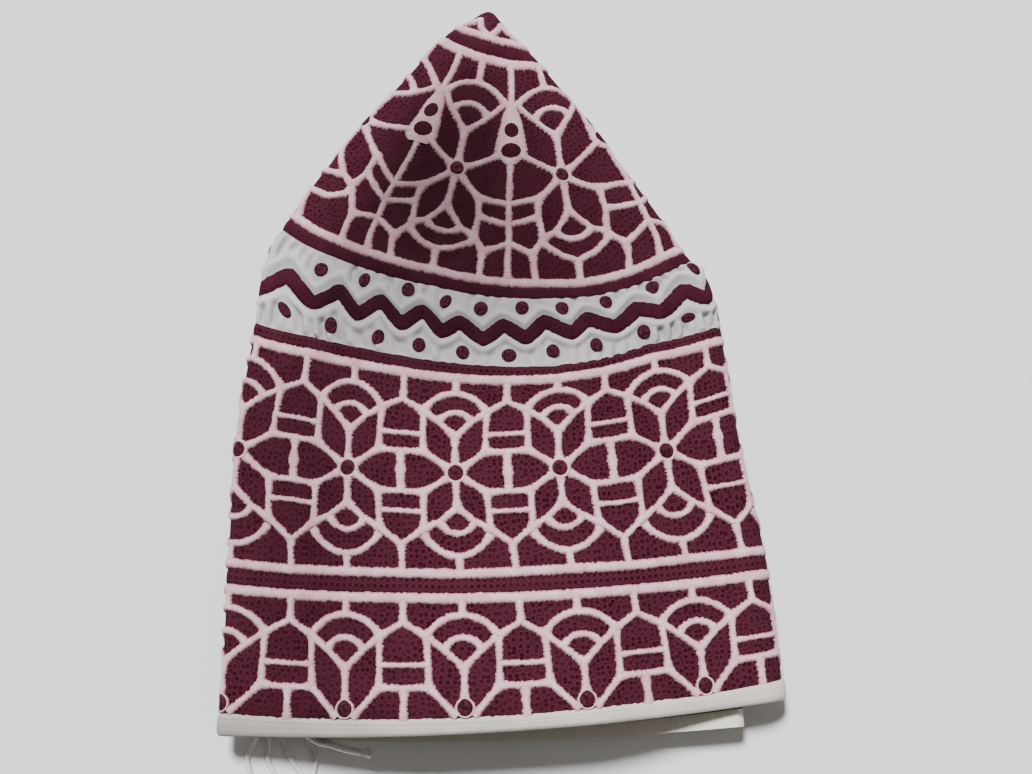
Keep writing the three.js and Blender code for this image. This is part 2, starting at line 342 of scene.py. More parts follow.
class Piece:
    """Gathers grids of points into one mesh with a UV map in millimetres."""

    def __init__(self, name):
        """Starts empty: points, corners of faces, face sizes, UV places and painted shade come grid by grid.
        """
        self.name = name
        self.points, self.corners, self.sizes, self.uvs, self.painted_shade = [], [], [], [], []
        self.count = 0

    def add_tubes(self, grid, uv, closed=False, painted_shade=0.0):
        """Tubes from an array of tubes, steps, ring points and x, y, z, capped unless closed."""
        tubes, steps, ring = grid.shape[:3]
        index = np.arange(tubes * steps * ring).reshape(tubes, steps, ring) + self.count
        index = np.concatenate([index, index[:, :, :1]], axis=2)
        if closed:
            index = np.concatenate([index, index[:, :1]], axis=1)
        uv = np.broadcast_to(uv, index.shape + (2,))
        near, far = (slice(None), slice(None, -1)), (slice(None), slice(1, None))
        left, right = (slice(None, -1),), (slice(1, None),)
        order = [near + left, near + right, far + right, far + left]
        self._keep(np.stack([index[o] for o in order], -1), np.stack([uv[o] for o in order], -2), 4)
        if not closed:
            self._keep(index[:, 0, ring - 1 :: -1], uv[:, 0, ring - 1 :: -1], ring)
            self._keep(index[:, -1, :ring], uv[:, -1, :ring], ring)
        self.points.append(grid.reshape(-1, 3))
        self.painted_shade.append(np.broadcast_to(painted_shade, grid.shape[:3]).ravel())
        self.count += tubes * steps * ring

    def _keep(self, corners, uv, size):
        """Adds faces of one size, by the corners' point numbers and UV places."""
        self.corners.append(corners.ravel())
        self.uvs.append(uv.reshape(-1, 2))
        self.sizes.append(np.full(corners.size // size, size))

    def build(self, material, slot):
        """The mesh object, riding on the cap's one body."""
        mesh = bpy.data.meshes.new(self.name)
        points, corners = np.concatenate(self.points), np.concatenate(self.corners)
        sizes = np.concatenate(self.sizes)
        mesh.vertices.add(len(points))
        mesh.vertices.foreach_set("co", points.astype(np.float32).ravel())
        mesh.loops.add(len(corners))
        mesh.loops.foreach_set("vertex_index", corners.astype(np.int32))
        mesh.polygons.add(len(sizes))
        mesh.polygons.foreach_set("loop_start", (np.cumsum(sizes) - sizes).astype(np.int32))
        layer = mesh.uv_layers.new(name=UV_NAME)
        layer.uv.foreach_set("vector", np.concatenate(self.uvs).astype(np.float32).ravel())
        # The painted shade of each point, kept as an attribute that the materials read
        painted_shade = mesh.attributes.new(PAINTED_SHADE_NAME, "FLOAT", "POINT")
        painted_shade.data.foreach_set("value", np.concatenate(self.painted_shade).astype(np.float32))
        mesh.update(calc_edges=True)
        mesh.validate()
        mesh.polygons.foreach_set("use_smooth", np.ones(len(sizes), bool))
        mesh.set_sharp_from_angle(angle=np.radians(SHARP_ANGLE))
        mesh.materials.append(material)
        obj = put_in_scene(self.name, mesh)
        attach(obj, "root")
        return obj


# A cord's section, as shares of its half width and height; what lies beyond 1 is its frayed foot
CORD_PROFILE = np.array([
    (-1.4, -0.2), (-1, 0.3), (-0.72, 0.8), (-0.28, 1), (0.28, 1), (0.72, 0.8), (1, 0.3), (1.4, -0.2),
])
CORD_SIDE = np.abs(CORD_PROFILE[:, 0])
FOOT = 0.9
CORD_STEP = 0.75
FLARE = 0.45
FLARE_RUN = 1.7
RAGGED = 0.08
RAGGED_STEP = 0.5
THINNEST_CORD = 0.2
CORD_STARTS = 400

# A stripe's one row of eyelets, and the smooth edge of stripes and rings
STRIPE_PITCH = 1.7
STRIPE_SCATTER = 0.12
STRIPE_TOP = 0.35
SMOOTH_EDGE = 0.03


def path_length(share, run):
    """Millimetres along each of several paths, by the middle measure of each step."""
    middle = (share[:, 1:] + share[:, :-1]) / 2, (run[:, 1:] + run[:, :-1]) / 2
    long, lean, tall = cloth.measure(*middle)
    x = long * np.diff(share, axis=1) + lean * np.diff(run, axis=1)
    step = np.hypot(x, tall * np.diff(run, axis=1))
    return np.concatenate([np.zeros((len(share), 1)), np.cumsum(step, axis=1)], axis=1)


def lay_cords(
    piece, share, run, half_width, top=1.0, closed=False, flare=FLARE, ragged=RAGGED, stripe=False,
):
    """Cords along paths on the cloth: the profile is spread to each side of the path on the cloth itself.

    Open cords widen where they run into a knot, and both edges are ragged by a seeded jitter.
    The UV map holds the way along in mm, from a seeded start for open cords. Its other number is the
    nearness to the cord's edge, which is 1, or on a stripe the side in mm, with eyelets on its middle.
    """
    share = np.unwrap(share, period=1.0, axis=1)
    long, lean, tall = cloth.measure(share, run)
    if closed:
        ahead = [np.roll(a, -1, axis=1) - np.roll(a, 1, axis=1) for a in (share, run)]
        ahead[0] = from_crease(ahead[0])
    else:
        ahead = [np.gradient(a, axis=1) for a in (share, run)]
    x, y = long * ahead[0] + lean * ahead[1], tall * ahead[1]
    size = np.hypot(x, y)
    along = path_length(share, run)
    width = np.broadcast_to(half_width, share.shape).astype(float)
    if not closed:
        from_end = np.minimum(along, along[:, -1:] - along)
        width = width * (1 + flare * bell(from_end / FLARE_RUN))
    jitter = rng.normal(0, ragged, (2,) + share.shape)
    jitter = jitter + RAGGED_STEP * ragged * (-1.0) ** np.arange(share.shape[1])
    edges = (np.maximum(width + j, THINNEST_CORD)[..., None] for j in jitter)
    widths = np.where(CORD_PROFILE[:, 0] < 0, *edges)
    beyond = np.maximum(CORD_SIDE - 1, 0)
    offset = np.sign(CORD_PROFILE[:, 0]) * (widths * np.minimum(CORD_SIDE, 1) + FOOT * beyond)
    x, y = ((a / size)[..., None] * offset for a in (-y, x))
    spots = cloth.spread(share[..., None], run[..., None], x, y)
    grid = cloth.at(*spots, raised(spots[0], top * CORD_PROFILE[:, 1]))
    if stripe:
        side = CORD_PROFILE[:, 0] * half_width + STRIPE_PITCH * STRIPE_SCATTER / 2
        side = np.broadcast_to(side, grid.shape[:3])
    else:
        side = np.maximum(1 - (1 - CORD_SIDE) * np.maximum(width[..., None] / FOOT, 1), 0)
        side = np.where(CORD_SIDE > 1, CORD_SIDE, side)
    side = np.concatenate([side, side[..., :1]], axis=2)
    if closed:
        along = np.concatenate([along, along[:, -1:] + along[:, 1:2]], axis=1)
        side = np.concatenate([side, side[:, :1]], axis=1)
    else:
        along = along + rng.uniform(0, CORD_STARTS, (len(along), 1))
    uv = np.stack(np.broadcast_arrays(along[..., None], side), axis=-1)
    piece.add_tubes(grid, uv, closed, painted_shade_at(*spots))


def lay_stripe(piece, share, run, half_width, top=STRIPE_TOP, ragged=SMOOTH_EDGE):
    """A flat maroon stripe round the cap: a broad low cord, closed, with its row of eyelets."""
    lay_cords(piece, share, run, half_width, top, closed=True, ragged=ragged, stripe=True)


# A knot's section from its rim to its middle, as shares of its radius and height
KNOT_PROFILE = np.array([(1, -0.35), (0.97, 0.4), (0.72, 0.95), (0.3, 1.02)])
KNOT_SIDES = 12


def eye_outline(angle, radius, squash=1.0, point=0.0):
    """A round outline, in mm round and down the cloth; with point its upper half narrows as a drop does."""
    narrow = 1 - point * np.maximum(np.sin(angle), 0) ** 2
    return radius * np.cos(angle) * narrow, -radius * squash * np.sin(angle)


def lay_knots(piece, share, run, radius, top=1.0, foot=0.0, squash=1.0, point=0.0, wide=1.0, lean=0.0):
    """Low domes on the cloth at several places, from rings of shrinking radius.

    Each may be made wider or narrower, and may lean by a share of the way down.
    """
    angle = 2 * np.pi * np.arange(KNOT_SIDES) / KNOT_SIDES
    share, run = np.ravel(share)[:, None, None], np.ravel(run)[:, None, None]
    reach = radius * KNOT_PROFILE[:, 0][:, None]
    x, y = eye_outline(angle, reach, squash, point)
    spots = cloth.spread(share, run, x * wide + lean * y, y)
    level = foot + (top - foot) * KNOT_PROFILE[:, 1][:, None]
    grid = cloth.at(*spots, raised(spots[0], level))
    turn = np.append(angle, 2 * np.pi)
    uv = np.stack([reach * np.cos(turn), reach * np.sin(turn)], axis=-1)
    piece.add_tubes(grid, uv[None], painted_shade=painted_shade_at(*spots))


def lay_shell(piece, columns, uv_of, *faces, painted_shade_of=painted_shade_at):
    """A closed shell round the tube: each face is its runs, in ring order, and its height there.

    The runs near the crown's edge and the wall's top move with the pattern there.
    """
    share = np.arange(columns)[:, None] / columns
    grid = [cloth.at(share, settled(share, runs), height(share, runs)) for runs, height in faces]
    rows = np.concatenate([runs for runs, height in faces])
    uv = uv_of(np.arange(columns + 1)[:, None] / columns, np.append(rows, rows[0]))
    piece.add_tubes(np.concatenate(grid, axis=1)[None], uv[None], True, painted_shade_of(share, rows)[None])


# Steps in mm of the closed paths round the cap
STRIPE_STEP = 1.0
BORDER_STEP = 0.8


def even_turns(step):
    """Even shares of the way round for one closed path, with steps of about step mm at the hem."""
    count = int(cloth.girth.max() / step)
    return np.arange(count)[None, :] / count


def crown_round(run):
    """A closed path round the crown at a run, which moves with the crown's edge and the wall's top."""
    share = even_turns(STRIPE_STEP)
    return share, settled(share, np.full(share.shape, float(run)))


# Fewest points of a drawn line and of an arc
LINE_POINTS = 4
ARC_POINTS = 6


def through(points, scale):
    """A line through points in steps of about a cord's step, where scale gives mm for each unit."""
    points = np.array(points, float)
    size = np.linalg.norm(np.diff(points, axis=0) * scale, axis=1)
    at = np.concatenate([[0], np.cumsum(size)])
    count = max(int(at[-1] / CORD_STEP) + 1, LINE_POINTS)
    wanted = np.linspace(0, at[-1], count)
    return np.stack([np.interp(wanted, at, points[:, k]) for k in range(2)], axis=-1)


def arc(half, foot, apex, scale):
    """A circle arc over the middle line, from its left foot through its apex to its right foot."""
    x, y = half * scale[0], (apex - foot) * scale[1]
    swing = 2 * np.arctan(y / x)
    radius = x / np.sin(swing)
    count = max(int(abs(2 * swing * radius) / CORD_STEP) + 1, ARC_POINTS)
    angle = np.linspace(-swing, swing, count)
    rise = (np.cos(angle) - np.cos(swing)) * radius
    return np.stack([np.sin(angle) * radius / scale[0], foot + rise / scale[1]], axis=-1)


def pens(scale, flip=(1, 1), shift=(0, 0)):
    """Two ways to draw a stroke of a chart, as a line through points or a bow, flipped and then shifted."""

    def line(*points):
        """The line through points."""
        return through(points, scale) * flip + shift

    def bow(half, foot, apex):
        """The arc over the middle line."""
        return arc(half, foot, apex, scale) * flip + shift

    return line, bow


# Tops of a chart's strokes, which take turns at several heights
STROKE_TOP = 0.98
STROKE_STEP = 0.015
STROKE_LEVELS = 7
RING_POINTS = 20
MIRROR = np.array([(1, 1), (-1, 1)])


def lay_strokes(piece, strokes, place, repeats):
    """Each stroke of a chart as a cord, once for every repeat of the motif round the cap.

    Strokes that cross lie at slightly different heights, so that no two faces coincide.
    """
    motif = np.arange(repeats)[:, None]
    for order, (half_width, chart) in enumerate(strokes):
        top = STROKE_TOP - STROKE_STEP * (order % STROKE_LEVELS)
        lay_cords(piece, *place(motif + chart[:, 0], chart[:, 1]), half_width, top)


def lay_rings(piece, place, repeats, run, radius, half_width, squash=1.0, point=0.0):
    """A small ring of cord round each flower's eye."""
    angle = 2 * np.pi * np.arange(RING_POINTS) / RING_POINTS
    centre = place(np.arange(repeats)[:, None], run)
    spots = cloth.spread(*centre, *eye_outline(angle, radius, squash, point))
    lay_cords(piece, *spots, half_width, closed=True, ragged=SMOOTH_EDGE)


def with_mirrors(single, paired):
    """A motif's strokes: the single ones, and each paired one with its mirror image across the middle."""
    return single + [(width, chart * side) for width, chart in paired for side in MIRROR]


# The wall's repeat: eighteen flowers round the cap
WALL_FLOWERS = 18
WALL_START = 0.13
WALL_SCALE = np.array([30.5, 1.0])
MAIN_CORD = 0.88
OUTER_CORD = 0.93
MIDDLE_CORD = 1.0
THIN_CORD = 0.7
EYE_RING = 2.5
EYE_CORD = 0.52
CROWN_EYE = 2.4

# Half flowers: the centre's run, the way to their border, and distances from the centre in mm
HALF_COLUMNS = (
    "centre", "way", "border", "outer_apex", "outer_foot", "arch", "fan", "inner_apex", "inner_foot",
    "fork", "far_bar", "near_bar", "joint", "middle_end", "side_end",
)
HALF_FLOWERS = {
    "upper": (145.8, -1, 26.8, 22.7, 17.4, 20.3, 17.4, 17.3, 14.6, 10.2, 10.7, 5.6, 5.8, 0, 1.3),
    "lower": (145.8, 1, 26.4, 22.4, 17.0, 19.9, 15.6, 16.6, 13.4, 9.5, 10.9, 5.4, 5.5, 0, 1.3),
    "hem row": (206.0, -1, 28.2, 23.8, 18.3, 21.9, 18.3, 17.9, 14.7, 10.1, 11.0, 5.1, 5.4, -3.2, -2.2),
}
WALL_LINES = ((118.9, 1.35), (172.0, 1.25), (177.75, 1.35))
HEM_LINE = (209.7, 0.9)

# Eyes of the flowers: the half flower whose centre they lie at, ring radius, half width, tallness and point
WALL_EYES = {"upper": (EYE_RING, EYE_CORD, 1.0, 0.0), "hem row": (2.3, 0.32, 1.05, 0.25)}
WALL_STRIPES = ((116.4, 1.45), (174.9, 1.8))
FAN_AT = 0.302
FOOT_AT = 0.158
JOINT_AT = 0.292
ARCH_AT = 0.5
EYE_SIDE_AT = 0.068

# How far the front's pattern lies to the right of and below its even place, by run and by flower
WANDER_FLOWERS = (-1, 0, 0.5, 1, 2, 3, 3.5, 4, 4.6, 5.5)
WANDER_RUNS = (116, 126, 145, 158, 167, 175, 190, 208)
WANDER_DOWN = (
    (0, -0.6, -1.9, -1.8, -0.6, 1.0, 0.4, -1.8, -0.5, 0),
    (0, 0.2, -0.8, -0.3, 0, -0.5, -0.7, -1.1, 0, 0),
    (0, -0.4, -0.8, -0.2, 0, 0.4, 0.2, 0.1, 0, 0),
    (0, -1.6, -1.8, -0.8, 0, -0.2, 0.2, -0.5, 0.3, 0),
    (0, -1.8, -0.8, -0.8, 0, -0.8, -0.3, -1.5, -0.6, 0),
    (0, -0.2, 0.2, 0.6, 1.0, 0.9, 0.7, 0.3, -0.2, 0),
    (0, -0.6, -0.2, -0.1, 0.1, 0.8, 0.1, 0.2, 0.8, 0),
    (0, 0, 0, -0.1, 0, 0.2, 0.5, 1.0, 1.0, 0),
)
WANDER_RIGHT = (
    (0, 0.5, 1.3, 1.2, 0.4, -1.2, -2.8, -2.7, -1.0, 0),
    (0, -0.6, 1.0, 1.4, 0.5, -1.6, -2.6, -1.8, -1.0, 0),
    (0, -1.0, 0.4, 1.4, 0.6, -1.8, -2.2, -1.4, -1.0, 0),
    (0, -1.6, 0.2, 1.0, 0.3, -2.2, -2.3, -1.5, -1.2, 0),
    (0, -1.4, 0.0, 0.7, -0.2, -2.4, -2.3, -1.6, -1.3, 0),
    (0, -1.2, 0.5, 0.5, 0, -1.6, -1.8, -1.0, -0.6, 0),
    (0, -1.6, 0.2, 0.3, 0, -0.9, -0.9, -0.4, 0, 0),
    (0, -2.4, 0.0, 0.3, 0, -0.3, 0.2, 0.3, 0, 0),
)


def between(table, rows, columns, row, column):
    """A small table's value between its rows and columns, bilinear and flat beyond its edges."""
    across = np.stack([np.interp(column, columns, line) for line in table])
    place = np.interp(row, rows, np.arange(len(rows)))
    upper = np.minimum(place.astype(int), len(rows) - 2)
    low = np.take_along_axis(across, upper[None], axis=0)[0]
    high = np.take_along_axis(across, upper[None] + 1, axis=0)[0]
    return low + (high - low) * (place - upper)


def wall_place(turn, run):
    """The share and run of a chart place on the wall, which wanders a little on the front."""
    turn, run = np.broadcast_arrays(np.asarray(turn, float), np.asarray(run, float))
    flower = (turn + 1) % WALL_FLOWERS - 1
    down = between(WANDER_DOWN, WANDER_RUNS, WANDER_FLOWERS, run, flower)
    right = between(WANDER_RIGHT, WANDER_RUNS, WANDER_FLOWERS, run, flower) / WALL_SCALE[0]
    return (turn + right + WALL_START) / WALL_FLOWERS, run + down


def wall_round(run, step):
    """A closed path round the wall that follows the pattern's wandering."""
    return wall_place(even_turns(step) * WALL_FLOWERS, run)


def half_flower(row):
    """Strokes of half a flower: stem, fork, two fan arcs, sides, bars and the arch to its neighbour."""
    d = dict(zip(HALF_COLUMNS, row))
    line, bow = pens(WALL_SCALE, (1, d["way"]), (0, d["centre"]))
    fan, joint = (FAN_AT, d["fan"]), (JOINT_AT, d["joint"])
    single = [
        (MAIN_CORD, line((0, EYE_RING), (0, d["fork"]))),
        (MAIN_CORD, bow(FOOT_AT, d["inner_foot"], d["inner_apex"])),
        (OUTER_CORD, bow(FAN_AT, d["outer_foot"], d["outer_apex"])),
        (MAIN_CORD, line((0, d["outer_apex"]), (0, d["border"]))),
        (MAIN_CORD, line((ARCH_AT, d["arch"]), (ARCH_AT, d["border"]))),
        (MIDDLE_CORD, line((ARCH_AT, d["middle_end"]), (ARCH_AT, d["near_bar"]))),
        (MAIN_CORD, line(joint, (ARCH_AT, d["near_bar"]), (1 - JOINT_AT, d["joint"]))),
        (THIN_CORD, line((JOINT_AT, d["far_bar"]), (1 - JOINT_AT, d["far_bar"]))),
        (MAIN_CORD, line(fan, (ARCH_AT, d["arch"]), (1 - FAN_AT, d["fan"]))),
    ]
    paired = [
        (MAIN_CORD, line((0, d["fork"]), (FOOT_AT, d["inner_foot"]), fan)),
        (MAIN_CORD, line(joint, fan)),
        (MAIN_CORD, line((EYE_SIDE_AT, d["side_end"]), joint)),
    ]
    return with_mirrors(single, paired)


# The crown's repeat: ten flowers round the tip, wider apart on the front than on the hidden layers
CROWN_FLOWERS = 10
CROWN_FRONT = 0.27
CROWN_RUNS = (10, 22, 29, 35, 45, 58, 70, 85, 90)
CROWN_CENTRE = (1.95, 1.815, 1.74, 1.69, 1.64, 1.59, 1.55, 1.53, 1.524)
CROWN_SPACE = (1.25, 1.19, 1.09, 1.07, 1.05, 0.97, 0.942, 0.916, 0.88)
CROWN_SCALE = np.array([33.0, 1.0])
CROWN_FLOWER_RUN = 58.0
CROWN_CORD = 0.99
TIP_CORD = 1.0
CROWN_LINES = ((12.7, 1.25), (20.9, 1.55), (90.6, 1.3))

# How far the front's crown pattern lies to the right of and below its charted place, in mm
CROWN_TURNS = (-0.2, 0, 0.25, 0.5, 0.75, 1, 1.5, 2, 2.25, 2.5, 3, 3.3, 9.2, 9.8)
CROWN_ROWS = (36, 47, 58, 67, 73, 79, 84, 90.5)
CROWN_DOWN = (
    (0, 0, 0, -0.6, 0, 0, 0, 0, 0, 0, 0, 0, 0, 0),
    (0, -1.0, -1.2, -1.2, -0.6, 0, 0.5, 0.4, 0, 0, 0, 0, 0, 0),
    (0, -2.4, -2.4, -1.0, -0.8, -0.9, 0.2, 0.8, 0, -0.5, 0, 0, 0, 0),
    (0, -3.6, -4.0, 0.4, -0.6, -0.8, -0.4, 0.5, -1.2, -0.8, 0, 0, 0, 0),
    (0, -4.0, -3.8, 0, -0.8, -1.0, 0, 0.4, 0, 0, 0, 0, 0, 0),
    (0, -4.6, -5.0, -0.4, -1.2, -1.6, -0.4, 0.2, 0, 0, 0, 0, 0, 0),
    (0, -4.0, -1.8, -0.6, -0.4, -2.1, -0.8, 0.4, 0.4, 0, 0, 0, 0, 0),
    (0, -0.2, -0.9, -1.1, -1.2, -1.6, -0.2, 1.5, 1.2, 0.7, 0.3, 0, 0, 0),
)
CROWN_RIGHT = (
    (0, 0, 0, 1.2, 0, 0, 0, 0, 0, 0, 0, 0, 0, 0),
    (0, 0, 1.0, 2.1, 0.8, 0, 0, 0, 0, 0.5, 0, 0, 0, 0),
    (-2.0, -3.0, -0.6, 1.4, 0.4, 0, 0, -0.2, 0.6, 2.2, 1.5, 0, 0, -2.0),
    (-3.0, -4.0, -0.4, 0.6, 0, -0.1, 0, -0.2, 2.3, 3.4, 2.0, 0, 0, -3.0),
    (-4.0, -4.5, -1.2, 0, 0.4, 0, 0, -0.2, 1.4, 3.3, 2.0, 0, 0, -4.0),
    (-4.5, -5.0, -2.6, 0, 0.4, 0, 0, -0.5, 0.6, 3.6, 2.0, 0, 0, -4.5),
    (-5.0, -5.5, -1.6, -0.4, -0.6, -0.4, -0.3, -0.4, 1.4, 4.2, 2.0, 0, 0, -5.0),
    (-5.0, -5.5, -3.0, -1.2, -1.4, -1.2, -0.3, -0.2, 1.6, 4.6, 2.0, 0, 0, -5.0),
)

# Where the cloth moves with the crown's edge and with the wall's top: the runs of its two smooth steps
CROWN_EDGE_MOVES = (60, 90, 95, 104)
WALL_TOP_MOVES = (106, 115, 116, 136)
MIDDLE_TURN = 1.5


def crown_edge(share):
    """How far the crown's edge lies below its even run, by the last row of its wandering."""
    turn = MIDDLE_TURN + (from_crease(share) * CROWN_FLOWERS - CROWN_CENTRE[-1]) / CROWN_SPACE[-1]
    return np.interp(turn, CROWN_TURNS, CROWN_DOWN[-1])


def wall_edge(share):
    """How far the wall's top lies below its even run, by the first row of its wandering."""
    flower = (share * WALL_FLOWERS - WALL_START + 1) % WALL_FLOWERS - 1
    return np.interp(flower, WANDER_FLOWERS, WANDER_DOWN[0])


def settled(share, run):
    """A run moved with the pattern near the crown's edge and near the wall's top."""
    upper = crown_edge(share) * window(run, *CROWN_EDGE_MOVES)
    lower = wall_edge(share) * window(run, *WALL_TOP_MOVES)
    return run + upper + lower


def crown_place(turn, run):
    """The share and run of a chart place: measured spacing on the front, even spacing elsewhere."""
    turn, run = np.broadcast_arrays(np.asarray(turn, float), np.asarray(run, float))
    centre = np.interp(run, CROWN_RUNS, CROWN_CENTRE)
    space = np.interp(run, CROWN_RUNS, CROWN_SPACE)
    first = MIDDLE_TURN - centre / space
    last = MIDDLE_TURN + (CROWN_FRONT * CROWN_FLOWERS - centre) / space
    turn = first + (turn - first) % CROWN_FLOWERS
    front = (centre + (turn - MIDDLE_TURN) * space) / CROWN_FLOWERS
    behind = CROWN_FRONT + (1 - CROWN_FRONT) * (turn - last) / (first + CROWN_FLOWERS - last)
    down = between(CROWN_DOWN, CROWN_ROWS, CROWN_TURNS, run, turn)
    right = between(CROWN_RIGHT, CROWN_ROWS, CROWN_TURNS, run, turn)
    girth = np.interp(run, np.arange(len(cloth.girth)) * cloth.ROW_STEP, cloth.girth)
    return np.where(turn <= last, front, behind) + right / girth, run + down


def crown_strokes():
    """Strokes of one crown flower from the tip's zigzag to the border ring."""
    line, bow = pens(CROWN_SCALE)
    flower = CROWN_FLOWER_RUN
    single = [
        (CROWN_CORD, line((0, 20.9), (0, 29.5))),
        (CROWN_CORD, line((0.5, 20.9), (0.5, 36.5))),
        (CROWN_CORD, bow(0.42, 35.3, 29.5)),
        (CROWN_CORD, bow(0.22, 40, 36.4)),
        (CROWN_CORD, line((0, 45.4), (0, flower - CROWN_EYE))),
        (CROWN_CORD, line((0.5, 52.6), (0.5, 90))),
        (CROWN_CORD, line((0, flower + CROWN_EYE), (0, 69.8))),
        (CROWN_CORD, bow(0.135, 76.3, 78.9)),
        (CROWN_CORD, line((-0.262, 79.6), (-0.11, 83.5), (0, 84.9), (0.11, 83.5), (0.262, 79.6))),
        (CROWN_CORD, line((0, 85), (0, 90.5))),
        (TIP_CORD, line((0, 12.7), (0.5, 6), (1, 12.7))),
        (CROWN_CORD, line((0.247, 66), (0.5, 67.7), (0.753, 66))),
        (CROWN_CORD, line((0.263, 71.7), (0.5, 73.7), (0.737, 71.7))),
        (CROWN_CORD, line((0.322, 83), (0.5, 79.7), (0.678, 83))),
    ]
    paired = [
        (CROWN_CORD, line((0, 45.4), (0.22, 40), (0.42, 35.3), (0.5, 36.5))),
        (CROWN_CORD, line((0.057, 57.0), (0.34, 52.4), (0.43, 51.2))),
        (CROWN_CORD, line((0.048, 59.5), (0.247, 66))),
        (CROWN_CORD, line((0.247, 66), (0.263, 71.7), (0.24, 78.4))),
        (CROWN_CORD, line((0, 69.8), (0.135, 76.3), (0.24, 78.4))),
        (CROWN_CORD, line((0.235, 80.2), (0.24, 78.4), (0.322, 83))),
        (CROWN_CORD, line((0.322, 83), (0.31, 90.5))),
    ]
    return with_mirrors(single, paired)


# The wedge between two crown flowers: half widths in mm at runs along its middle line
WEDGE_RUNS = (35.5, 37, 40, 46, 50, 52, 54.6)
WEDGE_HALF_WIDTHS = (1.3, 1.9, 2.9, 4.1, 4.9, 5.0, 1.6)
WEDGE_STEPS = 26


def lay_wedges(piece):
    """White wedges between the crown's flowers: broad flat cords whose width follows the table."""
    runs = np.linspace(WEDGE_RUNS[0], WEDGE_RUNS[-1], WEDGE_STEPS)
    share, run = crown_place(np.arange(CROWN_FLOWERS)[:, None] + 0.5, runs)
    lay_cords(piece, share, run, np.interp(run, WEDGE_RUNS, WEDGE_HALF_WIDTHS), flare=0)


# The band: forty zigzags with dots above and below, as places of forty times the share, and the run
ZIGZAGS = 40
ZIG_HALF_WIDTH = 2.2
ZIG_ROUNDING = 0.965
ZIG_RAGGED = 0.15
ZIG_TOP = 0.75
ZIG_STEPS = 10
ZIG_RUNS_BEHIND = (101.5, 105.5)
DOT_RADIUS = 2.15
DOT_RUNS_BEHIND = {"upper": 98.0, "lower": 109.4}
FRONT_CORNERS = (
    (0.1, 105.6), (0.78, 101.1), (1.47, 104.4), (2.11, 100.6), (2.57, 104.4), (3.12, 100.6), (3.58, 104.9),
    (4.06, 101.1), (4.47, 105.6), (4.85, 102.9), (5.34, 106.9), (5.8, 103.4), (6.25, 106.6), (6.69, 102.9),
    (7.24, 106.1), (7.63, 103.1), (8.24, 105.6), (8.83, 102.4), (9.37, 104.1), (9.99, 101.6), (10.47, 104.1),
)

# The front's dots also have a width and a tallness, as shares of the even dot, and a lean to the right
PLAIN_DOT = (1, 1, 0)
FRONT_DOTS = {
    "upper": (
        (-0.1, 98.5, 1, 1, 0), (1.53, 97.6, 1, 1, 0), (2.67, 96.6, 0.82, 1.05, 0),
        (3.73, 96.1, 0.86, 1.05, 0), (4.6, 97.4, 0.76, 0.96, -0.2), (5.37, 98.6, 0.95, 1, 0),
        (6.28, 98.4, 0.9, 0.97, 0), (7.14, 99.6, 0.9, 0.97, 0), (8.17, 99.4, 0.87, 0.93, 0),
        (9.36, 98.6, 1, 0.9, -0.15), (10.51, 98.1, 0.9, 1, 0.2),
    ),
    "lower": (
        (0.8, 108.1, 0.98, 0.92, 0.75), (1.95, 108.6, 0.92, 1.1, 0.2), (3.07, 109.4, 0.87, 1.05, 0),
        (3.97, 109.9, 0.87, 0.97, 0), (4.9, 110.9, 0.9, 0.94, 0.1), (5.87, 111.6, 1, 0.9, 0),
        (6.8, 111.1, 0.9, 0.94, 0), (7.76, 110.4, 0.87, 0.97, 0), (8.88, 108.4, 0.95, 0.97, -0.1),
        (9.94, 107.4, 1, 0.62, 0),
    ),
}


def continued(front, count, runs, plain=()):
    """A row of places round the band: the front's as charted, the others even and plain.

    The others take the runs in turn.
    """
    front = np.array(front)
    rest = count - len(front)
    turn = np.linspace(front[-1, 0], front[0, 0] + ZIGZAGS, rest + 2)[1:-1]
    others = np.column_stack([turn, np.resize(runs, rest), np.tile(plain, (rest, 1))])
    return np.concatenate([front, others])


CORNERS = continued(FRONT_CORNERS, 2 * ZIGZAGS, ZIG_RUNS_BEHIND)
CORNERS = np.concatenate([CORNERS, CORNERS[:1] + (ZIGZAGS, 0)])
BAND_DOTS = np.concatenate([
    continued(dots, ZIGZAGS, DOT_RUNS_BEHIND[row], PLAIN_DOT) for row, dots in FRONT_DOTS.items()
])


def zigzag_run(turn):
    """The zigzag's run: straight from corner to corner, each corner rounded by an arcsine of a cosine."""
    first = CORNERS[0, 0]
    order = np.interp((turn - first) % ZIGZAGS + first, CORNERS[:, 0], np.arange(len(CORNERS)))
    corner = np.minimum(order.astype(int), len(CORNERS) - 2)
    swing = np.arcsin(ZIG_ROUNDING * np.cos(np.pi * (order - corner))) / np.arcsin(ZIG_ROUNDING)
    return (CORNERS[corner, 1] * (1 + swing) + CORNERS[corner + 1, 1] * (1 - swing)) / 2


def zigzag_path():
    """The closed zigzag round the band, in even steps from corner to corner."""
    order = np.arange(2 * ZIG_STEPS * ZIGZAGS)[None, :] / ZIG_STEPS
    turn = np.interp(order, np.arange(len(CORNERS)), CORNERS[:, 0])
    return turn / ZIGZAGS, zigzag_run(turn)


# The band's relief in mm: padded rims beside the zigzag, a groove beyond them, and calm round the dots
PAD_AT = 3.2
PAD_WIDTH = 1.0
PAD_RISE = {"upper": 1.25, "lower": 0.85}
PAD_BEHIND = 0.65
SLOPE_STEPS = 24
SLOPE_SHARE = 0.85
GROOVE_AT = 4.8
GROOVE_WIDTH = 0.8
GROOVE_DEPTH = 0.2
DOT_REST = 2.7
SEAM_SHARE = 0.07

